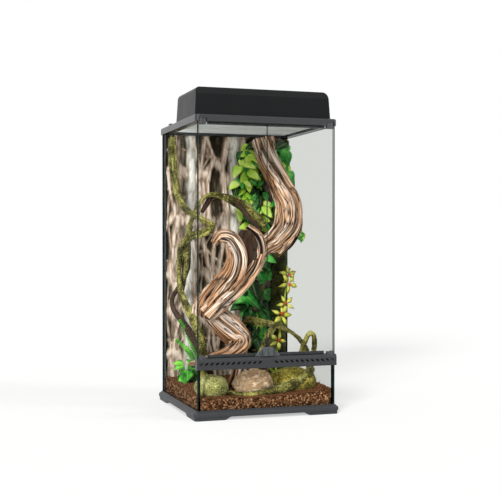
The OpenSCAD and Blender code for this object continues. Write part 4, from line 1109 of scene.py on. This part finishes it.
class TERRARIUM_OT_frames(Operator):
    """Finishes the base, frames, strip, clips, handles, lid locks and shutters"""

    bl_idname = "terrarium.frames"
    bl_label = "Frames and Fittings"

    def execute(self, context):
        paint(moulded("moulded_abs_dark_grey", "2c2e30", 0.46), "base_frame")
        paint(moulded("moulded_abs_charcoal", "202223", 0.28, gloss=0.5), "top_frame")
        paint(moulded("moulded_abs_strip", "2a2b2c", 0.36), "vent_strip")
        paint(plain_finish("black_steel_gauze", "101112", 0.5), "vent_gauze")
        paint(moulded("moulded_catch", "303233", 0.4), "door_catch")
        paint(plain_finish("black_silicone_rubber", "060707", 0.4), "silicone_seams")
        paint(plain_metal("zinc_plated_steel", "b9bbbd", 0.3), "lock_screws")
        paint(moulded("glass_filled_nylon", "2e3031", 0.42), "lid_lock_left", "lid_lock_right",
              "inlet_shutter_left", "inlet_shutter_right")
        paint(moulded("polished_clip_plastic", "3c3e40", 0.24, depth=0.03), "left_lower_clip",
              "left_upper_clip", "right_lower_clip", "right_upper_clip")
        paint(smoky_acrylic(), "left_handle", "right_handle")
        return {"FINISHED"}


class TERRARIUM_OT_glass(Operator):
    """Lays ground-edged glass over the five panes and the two doors"""

    bl_idname = "terrarium.glass"
    bl_label = "Glass"

    def execute(self, context):
        clear = float_glass("float_glass", looks().glass_tint)
        grey = float_glass("float_glass_side", looks().side_shade_tint)
        edge = glass_edge()
        for name, axis, body in (("bottom_pane", 2, TANK), ("left_pane", 0, TANK), ("right_pane", 0, TANK),
                                 ("back_pane", 1, TANK), ("front_lower_pane", 1, TANK),
                                 ("left_door_glass", 1, "left_door"), ("right_door_glass", 1, "right_door")):
            # The right side pane takes the greyer glass, a painted shade
            skin = grey if name == "right_pane" else clear
            dress(pane(name, axis, skin, edge), body, "glass", name)
        return {"FINISHED"}


class TERRARIUM_OT_screen(Operator):
    """Weaves the screen of the lid from round wires and finishes the lid's frame"""

    bl_idname = "terrarium.screen"
    bl_label = "Screen Lid"

    def execute(self, context):
        paint(moulded("moulded_lid_frame", "2e3032", 0.46), "screen_frame")
        # The wire is drawn near white: painted light on its underside
        steel = plain_finish("coated_steel_wire", "e6e9e7", 0.4, 0.95, 1.05)
        lo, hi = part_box("screen_mesh")
        pitch, wire = looks().wire_pitch, looks().wire_thickness
        middle = (lo[2] + hi[2]) / 2
        rows = []
        for across, (name, lift) in enumerate((("warp", wire * 0.4), ("weft", -wire * 0.4))):
            count = int((hi[1 - across] - lo[1 - across]) / pitch)
            spare = (hi[1 - across] - lo[1 - across] - (count - 1) * pitch) / 2
            start = [lo[0], lo[1], middle + lift]
            start[1 - across] += spare
            end = list(start)
            end[across] = hi[across]
            row = piece_from("wire_" + name, [start, end], [], [])
            with edited(row.data) as work:
                work.verts.ensure_lookup_table()
                work.edges.new(work.verts)
            step = [0.0, 0.0, 0.0]
            step[1 - across] = pitch
            run_tree(row, wires_tree(), count=count, step=step, wire=wire / 2, finish=steel)
            rows.append(row)
        dress(merged("woven_screen", rows), "screen_lid", "screen_wire", "screen_mesh")
        return {"FINISHED"}


class TERRARIUM_OT_hood(Operator):
    """Finishes the lighting hood, its reflector, lampholders, lamps and gland"""

    bl_idname = "terrarium.hood"
    bl_label = "Lighting Hood"

    def execute(self, context):
        paint(moulded("moulded_hood_black", "0d0e0f", 0.36, wear=0.08, gloss=0.13), "hood_housing")
        paint(plain_metal("rolled_aluminium", "d6d8da", 0.24, (0.05, 1.0, 1.0)), "reflector")
        paint(glazed("glazed_ceramic", "ece7dc"), "lampholder_left", "lampholder_right")
        paint(glazed("opal_glass", "f4f2ea", 0.12), "bulb_left", "bulb_right")
        paint(plain_finish("moulded_rubber", "1b1c1d", 0.6), "cord_gland")
        return {"FINISHED"}


class TERRARIUM_OT_ground(Operator):
    """Lays the bark ground and strews chips over it"""

    bl_idname = "terrarium.ground"
    bl_label = "Ground"

    def execute(self, context):
        skin = bark_chips()
        lo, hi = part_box("substrate")
        xs = np.linspace(lo[0], hi[0], 121)
        ys = np.linspace(lo[1], hi[1], 115)
        gx, gy = np.meshgrid(xs, ys)
        share = gx / INNER_X
        back = (gy - (lo[1] + hi[1]) / 2) / INNER_Y
        x, y = np.radians(gx / MM), np.radians((gy - (lo[1] + hi[1]) / 2) / MM)
        rise = (42 + 7 * (back + 1) + 12 * np.maximum(0, share) ** 2 + 4 * share ** 2
                + 1.6 * np.sin(11 * x) * np.cos(9 * y) + 1.2 * np.sin(7 * x + 13 * y))
        grit = (soft_noise(gx / 0.005, gy / 0.005, gx * 0, 3)
                + 0.6 * soft_noise(gx / 0.0025, gy / 0.0025, gx * 0, 4))
        rise = np.minimum(rise + 1.3 * grit, (hi[2] - FLOOR_Z) / MM) * MM

        def place(px, py, height):
            return np.stack([px, py, FLOOR_Z + height], axis=-1)

        ground = height_block("bark_ground", xs, ys, rise, place, [skin],
                              {"crease": np.clip(0.5 - grit, 0, 1)})
        chip = chip_shape()
        chips_skin = plain_finish("split_bark_chip", "66432b", 0.8, 0.35, 1.7, 420.0, 0.0, 0.05)
        spread = top_only(ground, 0.002)
        run_tree(spread, chips_tree(), shape=chip, density=looks().chip_density, smallest=0.0035,
                 largest=0.009, seed=looks().seed, finish=chips_skin, keep_surface=False)
        keep_inside(spread, (lo[0] + 0.001, lo[1] + 0.001, lo[2]),
                    (hi[0] - 0.001, hi[1] - 0.001, hi[2] + 0.006))
        drop(chip)
        dress(ground, TANK, "ground_bark", "substrate")
        dress(spread, TANK, "ground_bark")
        return {"FINISHED"}


class TERRARIUM_OT_background(Operator):
    """Casts the background relief of trunks and roots"""

    bl_idname = "terrarium.background"
    bl_label = "Background"

    def execute(self, context):
        lo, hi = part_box("background")
        xs = np.linspace(lo[0], hi[0], 190)
        zs = np.linspace(lo[2], hi[2], 330)
        gx, gz = np.meshgrid(xs, zs)
        x = gx / MM
        z = (gz - (lo[2] + hi[2]) / 2) / MM
        turn = np.radians(z)
        bend = 5 * soft_noise(x / 60, z / 90, x * 0, 21)
        # Two swellings among the roots and two pale trunks: place, sway, half width and share of height
        stand = [hump(x - at - sway * np.sin(turn / 2.6) + bend, width) * share
                 for at, sway, width, share in ((-176, 7, 24, 0.7), (158, -9, 34, 0.8),
                                                (-134, 6, 22, 1), (22, 5, 26, 1))]
        trunks = np.maximum(stand[2], stand[3])
        # Single roots: place, lean, half width and share of height
        lines = [share * hump(x - at - lean * z - 9 * np.sin(turn * 1.1 + at) + bend, width)
                 for at, lean, width, share in (
                     (-108, 0.05, 13, 0.75), (-66, -0.1, 12, 0.75), (-20, 0.04, 11, 0.75),
                     (72, 0.12, 14, 0.75), (104, -0.1, 12, 0.75), (196, 0.05, 8, 0.5),
                     (-206, 0.02, 7, 0.6), (136, -0.08, 8, 0.55))]
        # Nets of roots: width and height of a cell, seed, half width and share of height
        net = [share * hump(cell_edges((x + 2 * bend) / wide, z / tall, seed), broad)
               for wide, tall, seed, broad, share in ((62, 165, 3, 0.3, 0.8), (90, 120, 9, 0.1, 0.6))]
        roots = np.maximum.reduce([0.7 * np.maximum(stand[0], stand[1])] + lines + net)
        fissure = crease(soft_noise(x / 7, z / 38, x * 0, 31), 0.25)
        form = np.maximum(trunks, roots)
        fade = np.clip((z + (hi[2] - lo[2]) / MM / 2 - 85) / 60, 0, 1)
        thick = 18 + 16 * form * fade - 2.2 * fissure * form + 0.8 * soft_noise(x / 4, z / 4, x * 0, 32)
        limit = (hi[1] - lo[1]) / MM
        thick = np.clip(thick, 12, limit) * MM

        def place(px, pz, depth):
            return np.stack([px, hi[1] - depth, pz], axis=-1)

        # The stored height, lowered in the fissures, sets the colour: painted shade in the gaps and fissures
        wall = height_block("background_relief", xs, zs, thick, place, [painted_foam(), bead_foam()],
                            {"height": np.clip(form * (1 - 0.35 * fissure), 0, 1),
                             "trunk": (trunks > roots).astype(float)})
        dress(wall, TANK, "background_foam", "background")
        return {"FINISHED"}


class TERRARIUM_OT_driftwood(Operator):
    """Twists the driftwood from strands with cracks along their grain"""

    bl_idname = "terrarium.driftwood"
    bl_label = "Driftwood"

    def execute(self, context):
        skin = weathered_wood(looks().crack_and_shade_colour)
        # Each bundle: route, strands, sides, steps, spread, share of thickness, twist, phase and seed
        parts = (wood_bundle(WOOD_ARM, 5, 46, 13, 0.56, 0.45, 5.0, 20, 40)
                 + wood_bundle(WOOD_COIL, 5, 46, 12, 0.56, 0.45, 6.0, 40, 80))
        # Painted shade darkens the trunk and foot near the ground
        parts += darkened(wood_bundle(WOOD_TRUNK, 5, 46, 12, 0.54, 0.46, 4.0, 80, 120)
                          + wood_bundle(WOOD_FOOT, 3, 44, 12, 0.4, 0.62, 4.0, 0, 160), LOW_WOOD_SHADE)
        for k, route in enumerate((WOOD_STRAND, WOOD_RIBBON)):
            parts += wood_bundle(route, 2, 40, 12, 0.4, 0.66, 8.0, 30, 185 + 20 * k)
        web = wood_rope(WOOD_WEB, 40, 12, 230)
        # The web behind the coil is flattened front to back
        web[0][:, 1] = -0.062 + (web[0][:, 1] + 0.062) * 0.36
        # The web is drawn almost black as painted shade in the hollow behind the coil
        parts += darkened([web], HOLLOW_WOOD_SHADE)
        dress(joined("driftwood_branch", parts, [skin], fields=("crease", "flow")), TANK, "driftwood",
              "driftwood")
        return {"FINISHED"}


class TERRARIUM_OT_vines(Operator):
    """Grows the mossy vines, the ground root, the mossy column and the bare brown vine"""

    bl_idname = "terrarium.vines"
    bl_label = "Vines and Roots"

    def execute(self, context):
        olive = mossy("moss_flocked_vine", "1d1a0a", "5a5526", "a9a35a", 6.0)
        tips = plain_finish("moss_tips_olive", "6a6630", 0.9, 0.3, 1.9, 170.0, 0.1)
        dark = mossy("moss_flocked_column", "17180c", "33351a", "5d6230", 4.0)
        dark_tips = plain_finish("moss_tips_dark", "434d20", 0.9, 0.6, 1.4, 90.0, 0.2)
        side = [vine_rope(s, 18, 14, 206 + i, 0.14, 5.0) for i, s in enumerate(VINE_SIDE)]
        arch = twined(VINE_ARCH, 18, 210) + [vine_rope(ARCH_TUFT, 24, 16, 215, 0.2, 6.0)]
        column = [vine_rope(COLUMN, 36, 60, 250, 0.1, 9.0)]
        # Each vine: node, slot, its stems, its moss, its tufts and their share of the density
        vines = (("mossy_vine", "moss_vine", twined(VINE_LEFT, 22, 200) + side, olive, tips, 0.9),
                 ("arch_vine", "moss_vine", arch, olive, tips, 1.0),
                 ("right_vine", "moss_vine", twined(VINE_RIGHT, 18, 220) + twined(VINE_BRANCH, 18, 225)
                  + [vine_rope(VINE_LOOP, 20, 14, 230)], olive, tips, 1.0),
                 ("ground_root", "moss_vine", [vine_rope(GROUND_ROOT, 28, 20, 240)], olive, tips, 0.9),
                 ("mossy_column", "dark_moss", column, dark, dark_tips, 0.8))
        for salt, (name, slot, parts, skin, tuft, share) in enumerate(vines):
            dress(mossed(name + "_moss", parts, skin, tuft, VINE_TUFT, share, salt), TANK, slot, name)
        bark = plain_finish("smooth_vine_bark", "3a2a20", 0.6, 0.5, 1.6, 120.0)
        brown = [vine_rope(VINE_BROWN, 24, 20, 260, 0.05, 10.0, 0.03),
                 vine_rope(BROWN_LOOP, 24, 16, 262, 0.08, 12.0, 0.08)]
        dress(joined("brown_vine_bark", brown, [bark]), TANK, "brown_bark", "brown_vine")
        return {"FINISHED"}


class TERRARIUM_OT_ivy(Operator):
    """Hangs the ivy: thin stems with glossy leaves placed along them"""

    bl_idname = "terrarium.ivy"
    bl_label = "Ivy"

    def execute(self, context):
        stem_skin = leaf_skin("ivy_stem", "3a5a1c", "4c6e26", "6a8a34", 0.6)
        skins = {"deep": leaf_skin("ivy_leaf_deep", "175a20", "369c38", "78d466", 0.26),
                 "shaded": leaf_skin("ivy_leaf_shaded", "0a200a", "143a14", "2c6a2a", 0.3),
                 "bright": leaf_skin("ivy_leaf_bright", "90c630", "c2ea54", "eefc9c", 0.3)}
        stems = [vine_rope(s, 7, 8, 300 + i, 0.03, 10.0, 0.02) for i, s in enumerate(IVY_STEMS)]
        dress(joined("ivy_stems", stems, [stem_skin]), TANK, "leaf_green", "ivy")
        leaf = leaf_shape("ivy_leaf", 0.6, 0.34, 0.22, 0.3, 6)
        draw = np.random.default_rng(looks().seed)
        groups = {label: ([], [], []) for label in skins}
        for i, stem in enumerate(IVY_STEMS):
            path = smooth_route(stem, 10)
            reach = 26 if i < 3 else 16
            for point in path[1:]:
                for _ in range(2):
                    spread = draw.uniform(-1, 1, 3) * (reach, 7, 9)
                    spot = point[:3] + spread + (0, -8, 0)
                    swing = math.radians(-90 + draw.uniform(-85, 85))
                    toward = (math.cos(swing), -0.35 + draw.uniform(-0.35, 0.15), math.sin(swing))
                    facing = (draw.uniform(-0.55, 0.35), -1.0, draw.uniform(-0.1, 0.8))
                    size = looks().leaf_length * draw.uniform(0.55, 0.95)
                    low = spot[2] < IVY_LOW
                    if low:
                        size *= 1.25
                    if i == 4:
                        size *= 0.6
                    if low and draw.random() < 0.45:
                        continue
                    end = spot * MM + np.array(toward) / np.linalg.norm(toward) * size
                    if (abs(end[0]) > INNER_X - 0.003 or spot[1] > 192 or end[2] > ROOF_Z - 0.012
                            or end[2] < FLOOR_Z + 0.06 or end[1] > 0.19):
                        continue
                    # Painted light and shade: leaves high on the left mostly take the bright copy of the
                    # finish, low ones mostly the shaded copy
                    lit = (0.68 if spot[0] < IVY_LIT_SIDE else 0.26) if spot[2] > IVY_LIT else 0.12
                    dim = 0.7 if low else 0.22
                    group = groups["bright" if draw.random() < lit
                                   else "shaded" if draw.random() < dim else "deep"]
                    group[0].append(spot * MM)
                    group[1].append(turn_to(toward, facing))
                    group[2].append(size)
        for label, skin in skins.items():
            dress(placed("ivy_leaves_" + label, *groups[label], leaf, skin), TANK, "leaf_green")
        drop(leaf)
        return {"FINISHED"}


class TERRARIUM_OT_orchid(Operator):
    """Sets the orchid: a stem, strap leaves and open flowers"""

    bl_idname = "terrarium.orchid"
    bl_label = "Orchid"

    def execute(self, context):
        green = leaf_skin("orchid_green", "3f5a14", "6a8426", "a4b83e")
        petal = petal_skin()
        heart = moulded("orchid_lip", "c2451c", 0.4)
        stem = smooth_route(ORCHID_STEM, 2)
        rope = vine_rope(ORCHID_STEM, 10, 16, 400, 0.03, 10.0, 0.02)
        dress(joined("orchid_stem", [rope], [green]), TANK, "orchid_green", "orchid")
        spots, turns, sizes = [], [], []
        for k in (3, 5, 6, 8, 9):
            spots.append((stem[k][:3] - ((k % 2) * 8 - 3, 10, 0)) * MM)
            turns.append(turn_to((math.cos(0.7 * k), 0.2 * math.sin(k), math.sin(0.7 * k)),
                                 (0.3 * math.cos(2.2 * k) - 0.25, -1, 0.25)))
            sizes.append(looks().flower_width * (0.92 + 0.08 * (k % 3)))
        petals, lips = flower_shapes()
        dress(placed("orchid_petals", spots, turns, sizes, petals, petal), TANK, "orchid_green")
        dress(placed("orchid_lips", spots, turns, sizes, lips, heart), TANK, "orchid_green")
        drop(petals, lips)
        strap = leaf_shape("strap_leaf", 0.22, 0.45, 0.3, 0.35, 8, 0.7)
        root = (stem[0][:3] + (0, 0, 24)) * MM
        turns = []
        for k in range(6):
            a = math.radians(60 * k - 20)
            turns.append(turn_to((math.cos(a), math.sin(a), 0.35 + 0.2 * (k % 3)), (0, 0, 1)))
        sizes = [0.07 - 0.004 * (k % 3) for k in range(6)]
        dress(placed("orchid_leaves", [root] * 6, turns, sizes, strap, green), TANK, "orchid_green")
        drop(strap)
        return {"FINISHED"}


class TERRARIUM_OT_plants(Operator):
    """Plants the broad-leaved plant and the fern"""

    bl_idname = "terrarium.plants"
    bl_label = "Broad Leaves and Fern"

    def execute(self, context):
        green = leaf_skin("broad_leaf", "1c661a", "3f9c28", "84d848", 0.24)
        foot = np.array(PLANT_FOOT)
        stalks, spots, turns, sizes = [], [], [], []
        for k in range(15):
            a = math.radians(50 * k + 7)
            way = np.array([math.cos(a), math.sin(a)])
            top = (44, 56, 34, 62, 22)[k % 5]
            route = [(*(foot[:2] + way * r), foot[2] + h, t)
                     for r, h, t in ((6, 0, 4.6), (8, 26, 4), (12, top, 3))]
            stalks.append(vine_rope(route, 8, 8, 500 + k, 0.02, 8.0, 0.02))
            spots.append(np.array([foot[0] + 11 * way[0], foot[1] + 11 * way[1], foot[2] + top]) * MM)
            fall = (0.5, 0.1, 0.75, -0.2, 0.9)[k % 5]
            turns.append(turn_to((way[0], way[1], -fall), (way[0] * 0.4, way[1] * 0.4 - 0.5, 1)))
            sizes.append((0.048 + 0.006 * (k % 2)) * (0.7 if way[0] < -0.5 else 1))
        crown = rounded_lump(foot, (11, 11, 12), 12, 20, 0.05, 5.0, 0.5, 520)
        dress(joined("broadleaf_stalks", stalks + [crown], [green]), TANK, "leaf_green", "broadleaf")
        broad = leaf_shape("broad_leaf", 0.86, 0.42, 0.22, 0.5, 6)
        dress(placed("broadleaf_leaves", spots, turns, sizes, broad, green), TANK, "leaf_green")
        drop(broad)
        frond = leaf_skin("fern_frond", "1e5c14", "3d8e22", "7cc43c")
        ribs, spots, turns, sizes = [], [], [], []
        for i, route in enumerate(FERN_FRONDS):
            thin = [(x, y, z, 4) for x, y, z, t in route]
            ribs.append(vine_rope(thin, 8, 12, 540 + i, 0.02, 8.0, 0.0))
            path = smooth_route(route, 9)
            run, across, up = route_frame(path[:, :3])
            for k in range(6, len(path) - 1):
                for s in (-1, 1):
                    spots.append(path[k, :3] * MM)
                    turns.append(turn_to(across[k] * s + run[k] * 0.55, up[k] + (0, -0.4, 0.2)))
                    sizes.append(max(0.008, 0.00075 * path[k, 3]))
        dress(joined("fern_ribs", ribs, [frond]), TANK, "leaf_green", "fern")
        leaflet = leaf_shape("leaflet", 0.62, 0.4, 0.2, 0.2, 4)
        dress(placed("fern_leaflets", spots, turns, sizes, leaflet, frond), TANK, "leaf_green")
        drop(leaflet)
        return {"FINISHED"}


class TERRARIUM_OT_mounds(Operator):
    """Piles the moss ball, the cork mound and the bright moss mound"""

    bl_idname = "terrarium.mounds"
    bl_label = "Moss and Cork Mounds"

    def execute(self, context):
        mossy_lump("moss_ball", "pale_moss", mossy("pale_ball_moss", "3c3c1c", "9a9854", "d0ce8c", 4.5),
                   plain_finish("moss_tips_pale", "a09f62", 0.9, 0.5, 1.35, 200.0, 0.1), 3.0, 11,
                   rounded_lump((-158, -152, 90), (52, 50, 38), 60, 90, 0.03, 8.0, 1.5, 600))
        rock = rounded_lump((-8, -120, 88), (66, 56, 48), 80, 120, 0.05, 15.0, 4.0, 610)
        dress(joined("cork_mound", [rock], [rough_cork()]), TANK, "cork_bark", "rock_mound")
        mossy_lump("moss_mound", "bright_moss",
                   mossy("bright_mound_moss", "2c260e", "958434", "d4c662", 6.0),
                   plain_finish("moss_tips_bright", "8f8638", 0.9, 0.4, 1.5, 60.0, 0.1), 3.5, 12,
                   rounded_lump((124, -112, 84), (82, 62, 52), 70, 120, 0.04, 12.0, 3.0, 620))
        return {"FINISHED"}


class TERRARIUM_OT_stage(Operator):
    """Sets the floor, the lamps, the world and the camera"""

    bl_idname = "terrarium.stage"
    bl_label = "Floor, Light and Camera"

    def execute(self, context):
        floor = piece_from("floor", [(-20, -20, 0), (20, -20, 0), (20, 20, 0), (-20, 20, 0)],
                           [(0, 1, 2, 3)], [white_paper()], smooth=False)
        # Each lamp: name, tilt and turn in degrees, and power
        for name, tilt, turn, power in (("key", 66, -38, 3.1), ("top", 25, -30, 1.2), ("fill", 62, 58, 0.9)):
            lamp = bpy.data.lights.new(name, "SUN")
            lamp.energy = power
            lamp.angle = math.radians(LAMP_ANGLE)
            linked(name, lamp).rotation_euler = (math.radians(tilt), 0.0, math.radians(turn))
        world = bpy.data.worlds.new("studio")
        context.scene.world = world
        world.use_nodes = True
        n = Nodes(world.node_tree)
        soft, white = (n.put("ShaderNodeBackground", "Background", {"Color": WHITE, "Strength": level})
                       for level in (SOFT_LIGHT, 1.0))
        add(n.tree, "ShaderNodeOutputWorld", {"Surface": n.either(n.seen(), soft, white)})
        camera = bpy.data.cameras.new("camera")
        camera.sensor_width = 36.0
        camera.lens = 74.07
        camera.clip_end = 50.0
        eye = linked("camera", camera)
        eye.location = (-1.0505, -3.2260, 0.5507)
        eye.rotation_euler = (math.pi / 2 - 0.01038, 0.0, -0.31977)
        context.scene.camera = eye
        context.scene.view_settings.view_transform = "Standard"
        return {"FINISHED"}


STEPS = (TERRARIUM_OT_frames, TERRARIUM_OT_glass, TERRARIUM_OT_screen, TERRARIUM_OT_hood,
         TERRARIUM_OT_ground, TERRARIUM_OT_background, TERRARIUM_OT_driftwood, TERRARIUM_OT_vines,
         TERRARIUM_OT_ivy, TERRARIUM_OT_orchid, TERRARIUM_OT_plants, TERRARIUM_OT_mounds,
         TERRARIUM_OT_stage)


class TERRARIUM_PT_sidebar(Panel):
    """Lists the settings and the steps"""

    bl_label = "Planted Terrarium"
    bl_idname = "TERRARIUM_PT_sidebar"
    bl_space_type = "VIEW_3D"
    bl_region_type = "UI"
    bl_category = "Terrarium"

    def draw(self, context):
        settings = context.scene.terrarium_looks
        for prop in settings.bl_rna.properties:
            if not prop.is_readonly and prop.identifier != "name":
                self.layout.prop(settings, prop.identifier)
        for step in STEPS:
            self.layout.operator(step.bl_idname)


CLASSES = (TerrariumLooks,) + STEPS + (TERRARIUM_PT_sidebar,)


def register():
    for item in CLASSES:
        bpy.utils.register_class(item)
    bpy.types.Scene.terrarium_looks = PointerProperty(type=TerrariumLooks)


def unregister():
    del bpy.types.Scene.terrarium_looks
    for item in reversed(CLASSES):
        bpy.utils.unregister_class(item)


def main():
    """Registers the add-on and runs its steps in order."""
    register()
    for step in STEPS:
        group, name = step.bl_idname.split(".")
        getattr(getattr(bpy.ops, group), name)()


if __name__ == "__main__":
    main()
